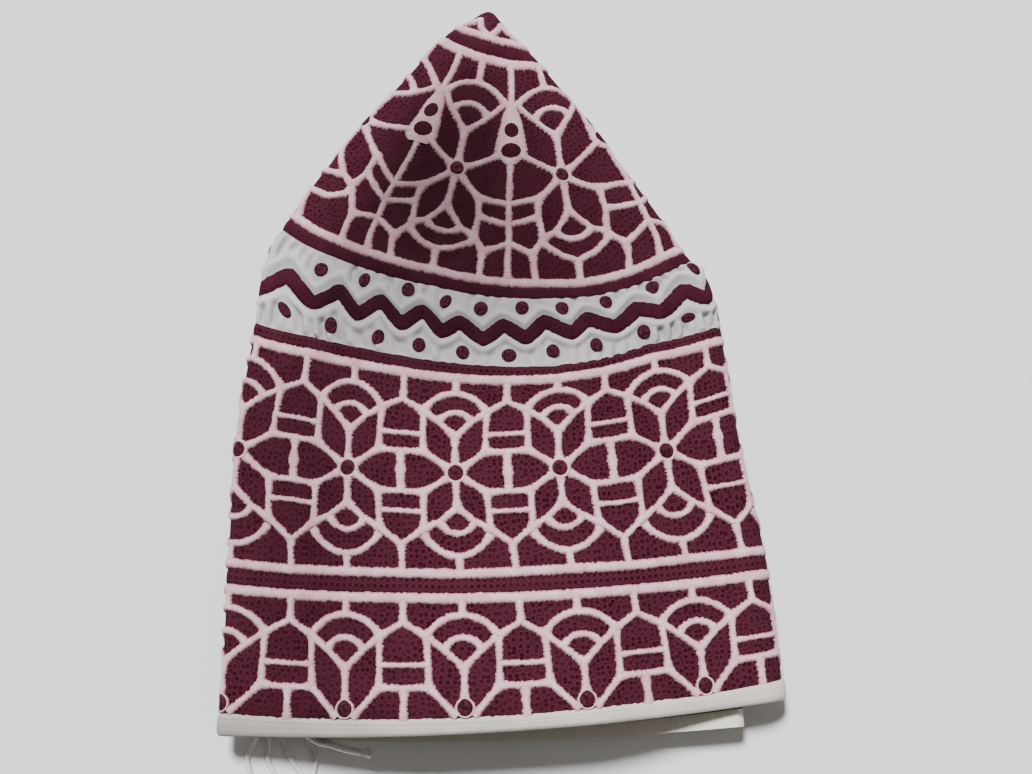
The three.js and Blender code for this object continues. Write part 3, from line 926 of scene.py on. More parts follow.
# The band's gathers: where they are deepest, as share, reach and strength, and their seeded waves
GATHERED_AT = ((0.05, 0.06, 1.0), (0.245, 0.03, 0.8))
GATHERS = 14
GATHER_HEIGHT = 0.16
GATHER_EVEN = 0.6
GATHER_MORE = 1.2
GATHER_BLEND = 2
WAVES_ROUND = (30, 170)
WAVE_SLANT = 7
# Painted shade in the band's hollows: the height in mm under which the cotton counts as low, and how much
# shade is painted there everywhere and more where it is gathered
HOLLOW_FROM = 0.5
HOLLOW_PAINTED_SHADE = (0.07, 0.3)


def from_dots(share, run):
    """Millimetres from each place on the band to the nearest dot, by the girth of the cap."""
    turn = (share * ZIGZAGS)[..., None] - BAND_DOTS[:, 0]
    round_mm = from_crease(turn / ZIGZAGS) * cloth.girth.max()
    return np.sqrt((round_mm**2 + (run[..., None] - BAND_DOTS[:, 1]) ** 2).min(axis=-1))


def gathered(share):
    """How much the band is gathered: a bell near the front's left crease, a lower one near its right end."""
    side = from_crease(share)
    return sum(much * bell((side - at) / reach) for at, reach, much in GATHERED_AT)


def band_relief(share, run):
    """Heights of the band's cotton over its ground, in mm.

    A padded rim, shaped as a bell, runs along each side of the zigzag with a groove beyond it. Between
    the rims and the seams the cotton is gathered in seeded waves. All of it dies out round the dots.
    """
    share, run = np.broadcast_arrays(share, run)
    place = settled(share, run)
    fine = np.arange(ZIGZAGS * SLOPE_STEPS + 1) / SLOPE_STEPS
    slope = np.gradient(zigzag_run(fine), fine * cloth.girth.max() / ZIGZAGS)
    slope = np.interp(share * ZIGZAGS, fine, slope)
    away = (place - zigzag_run(share * ZIGZAGS)) / np.hypot(1, SLOPE_SHARE * slope)
    rise = np.where(away < 0, PAD_RISE["upper"], PAD_RISE["lower"])
    away = np.abs(away)
    pads = rise * bell((away - PAD_AT) / PAD_WIDTH) * (PAD_BEHIND + (1 - PAD_BEHIND) * front_share(share))
    seeded = np.random.default_rng(5)
    down = np.clip((run - CROWN_END) / (BAND_END - CROWN_END), 0, 1)
    waves = 0
    for _ in range(GATHERS):
        count = seeded.integers(*WAVES_ROUND)
        slant = seeded.uniform(-WAVE_SLANT, WAVE_SLANT)
        start = seeded.uniform(0, WAVE_SLANT)
        waves = waves + np.sin(2 * np.pi * count * share + slant * down + start)
    height = GATHER_HEIGHT * (GATHER_EVEN + GATHER_MORE * gathered(share))
    waves = waves * height * ease((away - PAD_AT) / GATHER_BLEND)
    groove = GROOVE_DEPTH * bell((away - GROOVE_AT) / GROOVE_WIDTH)
    rest = 1 - bell((from_dots(share, place) / DOT_REST) ** 2)
    return (pads + waves - groove) * rest * window(down, 0, SEAM_SHARE, 1 - SEAM_SHARE, 1)


def band_painted_shade(share, run):
    """The band's painted shade: its soft spots, and shade painted in its hollows where the cotton lies lower
    than its rims.
    """
    everywhere, more = HOLLOW_PAINTED_SHADE
    low = ease((HOLLOW_FROM - band_relief(share, run)) / HOLLOW_FROM)
    hollow = (everywhere + more * gathered(share)) * low
    return 1 - (1 - painted_shade_at(share, run)) * (1 - hollow * front_share(share))


# The hem: how far its roll swells over the wall at shares of its width
HEM_SHARES = (0, 0.22, 0.72, 0.92, 1)
HEM_SWELLS = (0.1, 0.4, 0.4, 0.05, -0.4)
HEM_LEG = 0.7
HEM_SLIT = 0.15
HEM_SLIT_SHORT = 0.8
HEM_SUNK = 0.05
HEM_TICKS = (230, 171)
HEM_TICK_HEIGHT = 0.018

# Half the gap that each seam leaves between two pieces
SEAM = 0.06

# Loose thread ends under the hem: their radius, and points given along each, in mm
THREADS = (
    (0.65, (-65.2, -103.0, 3.0), (-66.1, -106.4, 1.2), (-67.6, -108.8, 0.5), (-68.3, -111.2, 0.5),
     (-67.0, -115.2, 0.5)),
    (0.65, (-62.4, -103.0, 3.0), (-62.6, -106.4, 1.2), (-62.7, -108.8, 0.5), (-62.6, -111.6, 0.5),
     (-60.6, -115.2, 0.5)),
    (0.65, (-59.4, -103.0, 3.0), (-58.7, -106.4, 1.0), (-57.6, -109.3, 0.5), (-55.7, -112.4, 0.5),
     (-53.5, -115.2, 0.5)),
    (0.65, (-53.4, -103.0, 3.0), (-52.2, -106.6, 1.0), (-50.6, -108.7, 0.5), (-49.8, -111.0, 0.5),
     (-50.5, -115.2, 0.5)),
    (0.9, (-55.5, -101.6, 8.5), (-49.0, -106.1, 9.0), (-45.3, -107.1, 8.8), (-41.1, -108.4, 8.3),
     (-36.9, -109.2, 8.0)),
)
THREAD_SIDES = 8
THREAD_STEPS = 12

# The fray at the last thread's end: strands that spread, bend and lift, the outer ones shorter
FRAY_AT = np.array([-37.0, -109.2, 8.0])
FRAY_RADIUS = 0.34
FRAY_SPREADS = np.linspace(-1.3, 1.3, 7)
FRAY_LENGTH = 2.8
FRAY_SHORTER = 0.4
FRAY_BEND = 0.15
FRAY_LIFT = 0.1


def thread_tube(points, radius):
    """A tube along a smooth curve through points: Catmull-Rom pieces with an upright side direction."""
    points = np.array(points, float)
    ends = np.concatenate([2 * points[:1] - points[1:2], points, 2 * points[-1:] - points[-2:-1]])
    t = np.linspace(0, len(points) - BEFORE_LAST, THREAD_STEPS * len(points))
    i, x = t.astype(int), (t % 1)[:, None]
    a, b, c, d = (ends[i + k] for k in range(4))
    line = 0.5 * (2 * b + (c - a) * x + (2 * a - 5 * b + 4 * c - d) * x**2 + (3 * b - a - 3 * c + d) * x**3)
    ahead = np.gradient(line, axis=0)
    ahead = ahead / np.linalg.norm(ahead, axis=1, keepdims=True)
    side = np.cross(ahead, (0, 0, 1))
    side = side / np.linalg.norm(side, axis=1, keepdims=True)
    over = np.cross(side, ahead)
    angle = -2 * np.pi * np.arange(THREAD_SIDES) / THREAD_SIDES
    ring = side[:, None] * np.cos(angle)[:, None] + over[:, None] * np.sin(angle)[:, None]
    length = np.concatenate([[0], np.cumsum(np.linalg.norm(np.diff(line, axis=0), axis=1))])
    turn = np.linspace(0, 1, THREAD_SIDES + 1)
    uv = np.stack(np.broadcast_arrays(length[:, None], turn), axis=-1)
    return (line[:, None] + radius * ring) * MM, uv


class Nodes:
    """Adds shader nodes to a tree, with inputs set or linked by name or number."""

    def __init__(self, tree):
        """Works on one node tree."""
        self.tree = tree

    def add(self, kind, inputs=None, **settings):
        """A new node of a kind: its settings first, then its inputs."""
        node = self.tree.nodes.new("ShaderNode" + kind)
        for name, value in settings.items():
            setattr(node, name, value)
        for name, value in (inputs or {}).items():
            self.put(node.inputs[name], value)
        return node

    def put(self, socket, value):
        """Links a socket to another one, or sets it to a plain value."""
        if isinstance(value, bpy.types.NodeSocket):
            self.tree.links.new(value, socket)
        else:
            socket.default_value = value

    def math(self, operation, *values):
        """A sum, product or other operation on numbers."""
        return self.add("Math", dict(enumerate(values)), operation=operation).outputs[0]

    def vectors(self, operation, first, second):
        """An operation on two vectors."""
        return self.add("VectorMath", {0: first, 1: second}, operation=operation).outputs[0]

    def noise(self, place, scale, detail):
        """Soft noise between 0 and 1, with more or less fine detail."""
        return self.add("TexNoise", {"Vector": place, "Scale": scale, "Detail": detail}).outputs["Fac"]

    def ramp(self, value, start, end):
        """A smooth step of value, from 0 at start to 1 at end."""
        inputs = {"Value": value, "From Min": start, "From Max": end}
        return self.add("MapRange", inputs, interpolation_type="SMOOTHSTEP").outputs["Result"]

    def mix(self, factor, first, second):
        """A colour between two others, which the node takes as its inputs 6 and 7."""
        return self.add("Mix", {0: factor, 6: first, 7: second}, data_type="RGBA").outputs[2]


VECTOR = "NodeSocketVector"
FLOAT = "NodeSocketFloat"
COLOUR = "NodeSocketColor"


def node_group(name, inputs, outputs):
    """An empty shader node group with named sockets: its tree, its nodes, what it is given and its output."""
    tree = bpy.data.node_groups.new(name, "ShaderNodeTree")
    for way, sockets in (("INPUT", inputs), ("OUTPUT", outputs)):
        for socket, kind in sockets.items():
            tree.interface.new_socket(socket, in_out=way, socket_type=kind)
    given = tree.nodes.new("NodeGroupInput").outputs
    return tree, Nodes(tree), given, tree.nodes.new("NodeGroupOutput").inputs


# Eyelets, as shares of their pitch: ramps of the hole and of the net round it, how far they close up where
# shade is painted, and the grain of the stitches
EYELET_HOLE = (0.42, 0.06)
NET_FROM = (0.24, 0.42)
NET_TO = (0.7, 0.42)
PAINTED_SHADE_CLOSES = 0.8
STITCH_GRAIN = 7.0
STITCH_RIDGE = 0.7


def eyelet_group():
    """Close stitching full of eyelets: cells round points, dark in the middle, with paler rims.

    The eyelets fade where shade is painted.
    """
    tree, nodes, given, out = node_group(
        "eyelet_stitching",
        {"Place": VECTOR, "Pitch": FLOAT, "Scatter": FLOAT, "Dull": FLOAT},
        {"Hole": FLOAT, "Net": FLOAT, "Height": FLOAT},
    )
    place = nodes.vectors("DIVIDE", given["Place"], given["Pitch"])
    cells = nodes.add(
        "TexVoronoi", {"Vector": place, "Scale": 1.0, "Randomness": given["Scatter"]},
        voronoi_dimensions="2D", feature="F1",
    )
    distance = cells.outputs["Distance"]
    clear = nodes.math("SUBTRACT", 1.0, nodes.math("MULTIPLY", given["Dull"], PAINTED_SHADE_CLOSES))
    hole = nodes.math("MULTIPLY", nodes.ramp(distance, *EYELET_HOLE), clear)
    rim = nodes.math("MULTIPLY", nodes.ramp(distance, *NET_FROM), nodes.ramp(distance, *NET_TO))
    net = nodes.math("MULTIPLY", rim, clear)
    grain = nodes.noise(place, STITCH_GRAIN, 2.0)
    ridge = nodes.math("MULTIPLY", nodes.math("SUBTRACT", grain, 0.5), STITCH_RIDGE)
    height = nodes.math("SUBTRACT", nodes.math("ADD", net, ridge), hole)
    for name, value in (("Hole", hole), ("Net", net), ("Height", height)):
        nodes.put(out[name], value)
    return tree


WEAVE_UNEVEN = 0.35


def weave_group():
    """Plain weave: two crossed sets of threads, each a sine, with a little uneven tone."""
    tree, nodes, given, out = node_group(
        "plain_weave", {"Place": VECTOR, "Thread": FLOAT}, {"Height": FLOAT, "Ribs": FLOAT},
    )
    split = nodes.add("SeparateXYZ", {"Vector": given["Place"]}).outputs
    turns = nodes.math("DIVIDE", 2 * np.pi, given["Thread"])
    waves = [nodes.math("SINE", nodes.math("MULTIPLY", split[k], turns)) for k in range(2)]
    uneven = nodes.noise(given["Place"], WEAVE_UNEVEN, 3.0)
    nodes.put(out["Height"], nodes.math("ADD", nodes.math("MULTIPLY", *waves), uneven))
    nodes.put(out["Ribs"], nodes.math("ADD", waves[0], uneven))
    return tree


PATCH_RAMP = (0.32, 0.68)


def patches_group():
    """Soft patches of a worn or shaded tone, from 0 to 1, about as large as Size."""
    tree, nodes, given, out = node_group(
        "soft_patches", {"Place": VECTOR, "Size": FLOAT}, {"Patch": FLOAT},
    )
    cloud = nodes.noise(nodes.vectors("DIVIDE", given["Place"], given["Size"]), 1.0, 4.0)
    nodes.put(out["Patch"], nodes.ramp(cloud, *PATCH_RAMP))
    return tree


def painted_shade_group():
    """Painted shade: a colour times a factor that falls from 1 to Keep as the painted shade rises from 0 to
    1.
    """
    tree, nodes, given, out = node_group(
        "painted_shading", {"Colour": COLOUR, "Dull": FLOAT, "Keep": FLOAT}, {"Colour": COLOUR},
    )
    factor = nodes.add("MapRange", {"Value": given["Dull"], "To Min": 1.0, "To Max": given["Keep"]})
    scaled = {0: given["Colour"], "Scale": factor.outputs["Result"]}
    nodes.put(out["Colour"], nodes.add("VectorMath", scaled, operation="SCALE").outputs[0])
    return tree


GROUPS = {
    "eyelets": eyelet_group(),
    "weave": weave_group(),
    "patches": patches_group(),
    "painted_shading": painted_shade_group(),
}


class Finish:
    """A cloth material: its nodes, its shader and the places that its patterns read."""

    def __init__(self, name, roughness, shine):
        """Starts with a plain shader, and with the piece's UV map, its solid places and its painted shade."""
        self.material = bpy.data.materials.new(name)
        self.material.use_nodes = True
        self.nodes = Nodes(self.material.node_tree)
        self.shader = self.material.node_tree.nodes["Principled BSDF"]
        self.shader.inputs["Roughness"].default_value = roughness
        self.shader.inputs["Specular IOR Level"].default_value = shine
        self.flat = self.nodes.add("UVMap", uv_map=UV_NAME).outputs["UV"]
        self.solid = self.nodes.add("TexCoord").outputs["Object"]
        self.painted_shade = self.nodes.add("Attribute", attribute_name=PAINTED_SHADE_NAME).outputs["Fac"]

    def group(self, name, **inputs):
        """One of the shared effects with this material's own values."""
        return self.nodes.add("Group", inputs, node_tree=GROUPS[name]).outputs

    def patches(self, size, much=1.0):
        """Soft patches of about a size in metres, up to a strength."""
        patch = self.group("patches", Place=self.solid, Size=size)["Patch"]
        return self.nodes.math("MULTIPLY", patch, much)

    def colour(self, value, keep=1.0):
        """The shader's colour, brought down to a share of itself where shade is painted."""
        dimmed = self.group("painted_shading", Colour=value, Dull=self.painted_shade, Keep=keep)["Colour"]
        self.nodes.put(self.shader.inputs["Base Color"], dimmed)

    def bump(self, height, depth_mm):
        """Fine relief of a depth in mm."""
        node = self.nodes.add("Bump", {"Height": height, "Distance": depth_mm * MM, "Strength": 1.0})
        self.nodes.put(self.shader.inputs["Normal"], node.outputs["Normal"])


# Tones of the threads and cloths
MAROON = (0.0365, 0.0044, 0.0112, 1)
MAROON_NET = (0.065, 0.0130, 0.0245, 1)
MAROON_HOLE = (0.0225, 0.0011, 0.0052, 1)
MAROON_DARK = (0.0175, 0.0034, 0.0054, 1)
CORD_WHITE = (0.78, 0.545, 0.59, 1)
CORD_BLUSH = (0.63, 0.29, 0.345, 1)
CORD_SHADE = (0.60, 0.40, 0.43, 1)
CORD_PINK = (0.39, 0.175, 0.22, 1)
BAND_WHITE = (0.69, 0.65, 0.65, 1)
BAND_GREY = (0.52, 0.505, 0.50, 1)
HEM_WHITE = (0.60, 0.555, 0.51, 1)
HEM_GREY = (0.47, 0.43, 0.375, 1)
HEM_DINGY = (0.72, 0.68, 0.60, 1)
THREAD_WHITE = (0.84, 0.80, 0.78, 1)

# Roughness and shine
STITCH_GLOSS = (0.85, 0.05)
COTTON_GLOSS = (0.9, 0.15)
FLOOR_GLOSS = (0.9, 0.25)

# Maroon stitching: eyelets in mm, paler patches by size and strength, the share of its tone left in painted
# shade, relief in mm
EYELET_PITCH = 1.75
CROWN_PITCH = 1.6
EYELET_SCATTER = 0.55
WEDGE_DOT_PITCH = 0.9
MAROON_PATCHES = (0.006, 0.45)
MAROON_IN_PAINTED_SHADE = 0.3
EYELET_BUMP = 0.12
CLOSED_UP = 0.85


def maroon_stitching(name, pitch, scatter, closed=0.0):
    """Maroon thread with dark eyelets, closed up by a share, and a paler net, lighter in soft patches, with
    shade painted on it.
    """
    finish = Finish(name, *STITCH_GLOSS)
    # Eyelets close up where shade is painted, or by the share that the stitching is closed up
    fade = finish.nodes.math("MAXIMUM", finish.painted_shade, closed)
    eyelets = finish.group("eyelets", Place=finish.flat, Pitch=pitch, Scatter=scatter, Dull=fade)
    tone = finish.nodes.mix(eyelets["Net"], MAROON, MAROON_NET)
    tone = finish.nodes.mix(eyelets["Hole"], tone, MAROON_HOLE)
    finish.colour(finish.nodes.mix(finish.patches(*MAROON_PATCHES), tone, MAROON_NET), MAROON_IN_PAINTED_SHADE)
    finish.bump(eyelets["Height"], EYELET_BUMP)
    return finish.material


# Maroon dots: their grain, ramps of its mottling, of the deeper middle and of the painted shade at the rim,
# and the share of their tone left in painted shade
DOT_GRAIN = 1300.0
DOT_MOTTLE = (0.35, 0.6)
DOT_MIDDLE = (0.8, 0.2)
DOT_MIDDLE_DEPTH = 0.5
DOT_RIM_SHADE = (1.8, 2.6)
DOT_IN_PAINTED_SHADE = 0.6
DOT_BUMP = 0.15


def maroon_dot():
    """A dot of close maroon stitches, mottled, a little deeper in its middle, with shade painted darker at
    its rim.
    """
    finish = Finish("maroon_dot", *STITCH_GLOSS)
    nodes = finish.nodes
    out = nodes.add("VectorMath", {0: finish.flat}, operation="LENGTH").outputs["Value"]
    grain = nodes.noise(finish.solid, DOT_GRAIN, 2.0)
    tone = nodes.mix(nodes.ramp(grain, *DOT_MOTTLE), MAROON_DARK, MAROON_NET)
    middle = nodes.math("MULTIPLY", nodes.ramp(out, *DOT_MIDDLE), DOT_MIDDLE_DEPTH)
    tone = nodes.mix(middle, tone, MAROON_HOLE)
    # A dark ring at the rim: painted shade where the dot falls to the cloth
    finish.colour(nodes.mix(nodes.ramp(out, *DOT_RIM_SHADE), tone, MAROON_DARK), DOT_IN_PAINTED_SHADE)
    finish.bump(grain, DOT_BUMP)
    return finish.material


# White cords: their fibres along and across, ramps of darker fibres, of pink edges and of bare ground, and
# the share of their tone left in painted shade
FIBRES = (2.0, 0.7, 1)
FIBRE_REACH = 1.4
FIBRE_SHADE = (0.58, 0.4)
BLUSH_SIZE = 0.004
PINK_EDGE = (1.08, 1.7)
GROUND_EDGE = (1.72, 1.86)
CORD_IN_PAINTED_SHADE = 0.26
CORD_BUMP = 0.2


def corded_cotton():
    """White raised lines: cotton laid across the line, with blushes of pink, its edges fraying into maroon.

    The fibres are noise that is short along the line and long across it. Shade is painted on it in soft
    spots.
    """
    finish = Finish("corded_cotton", *COTTON_GLOSS)
    nodes = finish.nodes
    edge = nodes.add("SeparateXYZ", {"Vector": finish.flat}).outputs["Y"]
    fibres = nodes.noise(nodes.vectors("MULTIPLY", finish.flat, FIBRES), 1.0, 2.0)
    reach = nodes.math("ADD", edge, nodes.math("MULTIPLY", fibres, FIBRE_REACH))
    tone = nodes.mix(finish.patches(BLUSH_SIZE), CORD_WHITE, CORD_BLUSH)
    tone = nodes.mix(nodes.ramp(fibres, *FIBRE_SHADE), tone, CORD_SHADE)
    tone = nodes.mix(nodes.ramp(reach, *PINK_EDGE), tone, CORD_PINK)
    finish.colour(nodes.mix(nodes.ramp(reach, *GROUND_EDGE), tone, MAROON), CORD_IN_PAINTED_SHADE)
    finish.bump(fibres, CORD_BUMP)
    return finish.material


# White cotton: grey patches by size and strength, the share of its tone left in painted shade, and where the
# layers under the front begin, in mm round
COTTON_PATCHES = (0.009, 0.5)
COTTON_IN_PAINTED_SHADE = 0.42
UNDER_FRONT = (160, 175)
UNDER_DINGY = 0.8


def plain_cotton(name, white, shade, thread, depth, dingy=None):
    """Plain woven cotton, greyer in soft patches. A dingy tone makes it ribbed, and dingy under the front.
    Shade is painted on it in soft spots.
    """
    finish = Finish(name, *COTTON_GLOSS)
    nodes = finish.nodes
    weave = finish.group("weave", Place=finish.flat, Thread=thread)
    tone = nodes.mix(finish.patches(*COTTON_PATCHES), white, shade)
    if dingy:
        around = nodes.add("SeparateXYZ", {"Vector": finish.flat}).outputs["X"]
        under = nodes.math("MULTIPLY", nodes.ramp(around, *UNDER_FRONT), UNDER_DINGY)
        tone = nodes.mix(under, tone, dingy)
    finish.colour(tone, COTTON_IN_PAINTED_SHADE)
    finish.bump(weave["Ribs" if dingy else "Height"], depth)
    return finish.material


EYELETS = maroon_stitching("maroon_eyelets", EYELET_PITCH, EYELET_SCATTER)
CROWN_EYELETS = maroon_stitching("crown_eyelets", CROWN_PITCH, EYELET_SCATTER)
STRIPES = maroon_stitching("maroon_stripe", STRIPE_PITCH, STRIPE_SCATTER)
CLOSE_STITCHES = maroon_stitching("close_stitches", STRIPE_PITCH, STRIPE_SCATTER, CLOSED_UP)
WEDGE_DOTS = maroon_stitching("wedge_dot", WEDGE_DOT_PITCH, 1.0)
DOTS = maroon_dot()
CORDING = corded_cotton()
BAND_COTTON = plain_cotton("band_cotton", BAND_WHITE, BAND_GREY, 0.5, 0.1)
HEM_COTTON = plain_cotton("hem_cotton", HEM_WHITE, HEM_GREY, 0.9, 0.03, HEM_DINGY)
THREAD = plain_cotton("loose_thread", THREAD_WHITE, HEM_WHITE, 0.4, 0.1)

# Points round each cloth, and rows of points along it
COLUMNS = 520
BAND_COLUMNS = 1300
HEM_COLUMNS = 920
CROWN_ROWS_OUTSIDE = 64
CROWN_ROWS_INSIDE = 40
BAND_ROWS = 50
BAND_INNER_SKIP = 7
WALL_ROWS = 46
HEM_ROWS = 14
SLIT_ROWS = 5

# The crown's tip: the way it points, and its closing rings as shares of the last section and mm ahead
TIP_WAY = np.array([-0.15, 1.0, 0])
TIP_RINGS = ((0.75, 0.6), (0.35, 0.9))
CROWN_LAID_FLAT = 5.3

# Maroon stripes, dots and eyes: runs and sizes in mm, and heights where 0 is the ground and 1 a cord's top
CROWN_STRIPES = ((16.6, 1.6), (93.4, 1.6))
WEDGE_DOT_SHAPES = ((43.7, 2.1, 1.2), (50.2, 2.95, 0.85))
WEDGE_DOT_HEIGHTS = {"top": 1.15, "foot": 0.9}
BAND_DOT_HEIGHTS = {"top": 0.8, "foot": 0.2}
EYE_TOP = 0.85
EYE_MARGIN = 0.15
BORDER_TOP = 1.02


def flat_face(height):
    """A face of a shell that lies at one height in mm over the tube's outer face."""
    return lambda share, run: height


def wall_uv(share, run):
    """The wall laid flat: millimetres round the hem and millimetres from the tip."""
    return np.stack(np.broadcast_arrays(share * cloth.girth[-1], run), axis=-1)


def crown_cloth():
    """The crown's cloth: one tube from its inside near the tip to its edge and back outside to the tip.

    The tip closes in two smaller rings, pushed a little ahead. The UV map is the crown laid flat as a
    cone: the run as radius, and the way round as an angle.
    """
    piece = Piece("crown_cloth")
    share = np.arange(COLUMNS)[None, :] / COLUMNS
    outside = np.linspace(CROWN_END - SEAM, 0, CROWN_ROWS_OUTSIDE)[:, None]
    inside = np.linspace(POCKET_START, CROWN_END - SEAM, CROWN_ROWS_INSIDE)[:, None]
    faces = ((inside, INNER), (outside, GROUND))
    grid = np.concatenate([cloth.at(share, settled(share, runs), height) for runs, height in faces])
    tip = grid[-1:]
    middle = tip.mean(axis=1, keepdims=True)
    rounded = [middle + (tip - middle) * keep + TIP_WAY * MM * push for keep, push in TIP_RINGS]
    grid = np.concatenate([grid, *rounded])
    rows = np.concatenate([inside, outside, np.zeros((len(TIP_RINGS), 1))])
    around = np.arange(COLUMNS + 1)[None, :] / COLUMNS * CROWN_LAID_FLAT
    uv = np.stack([rows * np.cos(around), rows * np.sin(around)], axis=-1)
    piece.add_tubes(grid[None], uv[None], painted_shade=painted_shade_at(share, rows)[None])
    return piece.build(CROWN_EYELETS, "embroidered_crown")


def build_crown():
    """The crown: its cloth, its corded flowers and wedges, two stripes, the wedges' dots and the eyes."""
    crown = crown_cloth()
    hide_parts("crown")

    lines = Piece("crown_cording")
    lay_strokes(lines, crown_strokes(), crown_place, CROWN_FLOWERS)
    lay_rings(lines, crown_place, CROWN_FLOWERS, CROWN_FLOWER_RUN, CROWN_EYE, EYE_CORD)
    for run, half_width in CROWN_LINES:
        lay_cords(lines, *crown_round(run), half_width, closed=True)
    lay_wedges(lines)
    lines = lines.build(CORDING, "embroidered_crown")

    stripes = Piece("crown_stripes")
    for run, half_width in CROWN_STRIPES:
        lay_stripe(stripes, *crown_round(run), half_width)
    stripes = stripes.build(CLOSE_STITCHES, "embroidered_crown")

    dots = Piece("wedge_dots")
    turn = np.arange(CROWN_FLOWERS)[:, None]
    for run, radius, squash in WEDGE_DOT_SHAPES:
        lay_knots(dots, *crown_place(turn + 0.5, run), radius, squash=squash, **WEDGE_DOT_HEIGHTS)
    dots = dots.build(WEDGE_DOTS, "embroidered_crown")

    eyes = Piece("crown_eyes")
    lay_knots(eyes, *crown_place(turn, CROWN_FLOWER_RUN), CROWN_EYE - EYE_MARGIN, top=EYE_TOP)
    eyes = eyes.build(DOTS, "embroidered_crown")


def build_band():
    """The white band with its zigzag, the rims beside it and two rows of dots."""
    piece = Piece("band_cloth")
    runs = np.linspace(CROWN_END + SEAM, BAND_END - SEAM, BAND_ROWS)
    outside = (runs, lambda share, run: GROUND + band_relief(share, run))
    inside = (runs[::-BAND_INNER_SKIP], flat_face(INNER))
    lay_shell(piece, BAND_COLUMNS, wall_uv, outside, inside, painted_shade_of=band_painted_shade)
    band = piece.build(BAND_COTTON, "band_cotton")
    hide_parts("zigzag_band")

    zigzag = Piece("band_zigzag")
    lay_stripe(zigzag, *zigzag_path(), ZIG_HALF_WIDTH, ZIG_TOP, ZIG_RAGGED)
    zigzag = zigzag.build(CLOSE_STITCHES, "band_cotton")

    dots = Piece("band_dots")
    turn, run, wide, tall, lean = BAND_DOTS.T[..., None, None]
    shape = {"wide": wide, "squash": tall, "lean": lean}
    lay_knots(dots, turn / ZIGZAGS, run, DOT_RADIUS, **shape, **BAND_DOT_HEIGHTS)
    dots = dots.build(DOTS, "band_cotton")


def build_wall():
    """The side wall's maroon cloth, its corded flowers with their eyes, border lines and two stripes."""
    piece = Piece("wall_cloth")
    runs = np.linspace(BAND_END + SEAM, HEM_START - SEAM, WALL_ROWS)
    lay_shell(piece, COLUMNS, wall_uv, (runs, flat_face(GROUND)), (runs[::-1], flat_face(INNER)))
    wall = piece.build(EYELETS, "embroidered_wall")
    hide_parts("side_wall")
    for name, rows in (("flower_row_cording", ("upper", "lower")), ("hem_row_cording", ("hem row",))):
        lines = Piece(name)
        for row in rows:
            lay_strokes(lines, half_flower(HALF_FLOWERS[row]), wall_place, WALL_FLOWERS)
        lay_rings(lines, wall_place, WALL_FLOWERS, HALF_FLOWERS[rows[0]][0], *WALL_EYES[rows[0]])
        lines.build(CORDING, "embroidered_wall")
    eyes = Piece("flower_eyes")
    turn = np.arange(WALL_FLOWERS)[:, None]
    for row, (ring, _, squash, point) in WALL_EYES.items():
        place = wall_place(turn, HALF_FLOWERS[row][0])
        lay_knots(eyes, *place, ring - EYE_MARGIN, top=EYE_TOP, squash=squash, point=point)
    eyes.build(DOTS, "embroidered_wall")
    borders = Piece("wall_border_lines")
    for run, half_width in WALL_LINES:
        lay_cords(borders, *wall_round(run, BORDER_STEP), half_width, BORDER_TOP, closed=True)
    borders.build(CORDING, "embroidered_wall")
    stripes = Piece("wall_stripes")
    for run, half_width in WALL_STRIPES:
        lay_stripe(stripes, *wall_round(run, STRIPE_STEP), half_width)
    stripes.build(STRIPES, "embroidered_wall")


def hem_swell(share, run):
    """The hem's outer face: its table of swells, with small ticks of two sines on the front."""
    swell = np.interp((run - HEM_START) / (HEM_END - HEM_START), HEM_SHARES, HEM_SWELLS)
    ticks = sum(np.sin(2 * np.pi * count * share) for count in HEM_TICKS)
    return swell - HEM_SUNK + HEM_TICK_HEIGHT * ticks * front_share(share)


def build_hem():
    """The hem round the mouth: a strip turned over the edge, in two legs with a slit between them."""
    piece = Piece("hem_roll")
    runs = np.linspace(HEM_START + SEAM, HEM_END, HEM_ROWS)
    slit = np.linspace(HEM_START + SEAM, HEM_END - HEM_SLIT_SHORT, SLIT_ROWS)
    outer_leg = (slit[::-1], flat_face(INNER + HEM_LEG + HEM_SLIT))
    faces = ((runs, hem_swell), (runs[::-1], flat_face(INNER)), (slit, flat_face(INNER + HEM_LEG)), outer_leg)
    lay_shell(piece, HEM_COLUMNS, wall_uv, *faces)
    hem = piece.build(HEM_COTTON, "hem_cotton")
    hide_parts("hem")
    line = Piece("hem_line")
    run, half_width = HEM_LINE
    lay_cords(line, *wall_round(run, BORDER_STEP), half_width, BORDER_TOP, closed=True)
    line = line.build(HEM_COTTON, "hem_cotton")


def build_threads():
    """Loose thread ends that hang from under the hem onto the surface, the last one frayed at its end."""
    strands = [(points, radius) for radius, *points in THREADS]
    for spread in FRAY_SPREADS:
        tip = FRAY_AT + np.array([FRAY_LENGTH - FRAY_SHORTER * abs(spread), spread, 0])
        middle = (FRAY_AT + tip) / 2 + np.array([0, FRAY_BEND * spread, FRAY_LIFT])
        strands.append(([FRAY_AT, middle, tip], FRAY_RADIUS))
    piece = Piece("loose_threads")
    for points, radius in strands:
        tube, uv = thread_tube(points, radius)
        piece.add_tubes(tube[None], uv[None])
    piece.build(THREAD, "hem_cotton")


# The camera, in metres, degrees and pixels
PHOTO_WIDTH = 1032
FOCAL_PIXELS = 1300
SENSOR_WIDTH = 36.0
CLIP_START = 0.01
VIEW_ELEVATION = 76.0
VIEW_DISTANCE = 0.3718
LOOK_AT = Vector((0.00335, -0.00875, 0))

# Far lights: name, a place in their direction, their spread in degrees, power and tint
LIGHTS = (
    ("key_light", (-0.24, 0.68, 1.1), 14.0, 7.5, (0.98, 0.99, 1.0)),
    ("fill_light", (0.9, 0.1, 0.9), 50.0, 0.35, (1.0, 0.96, 0.9)),
)

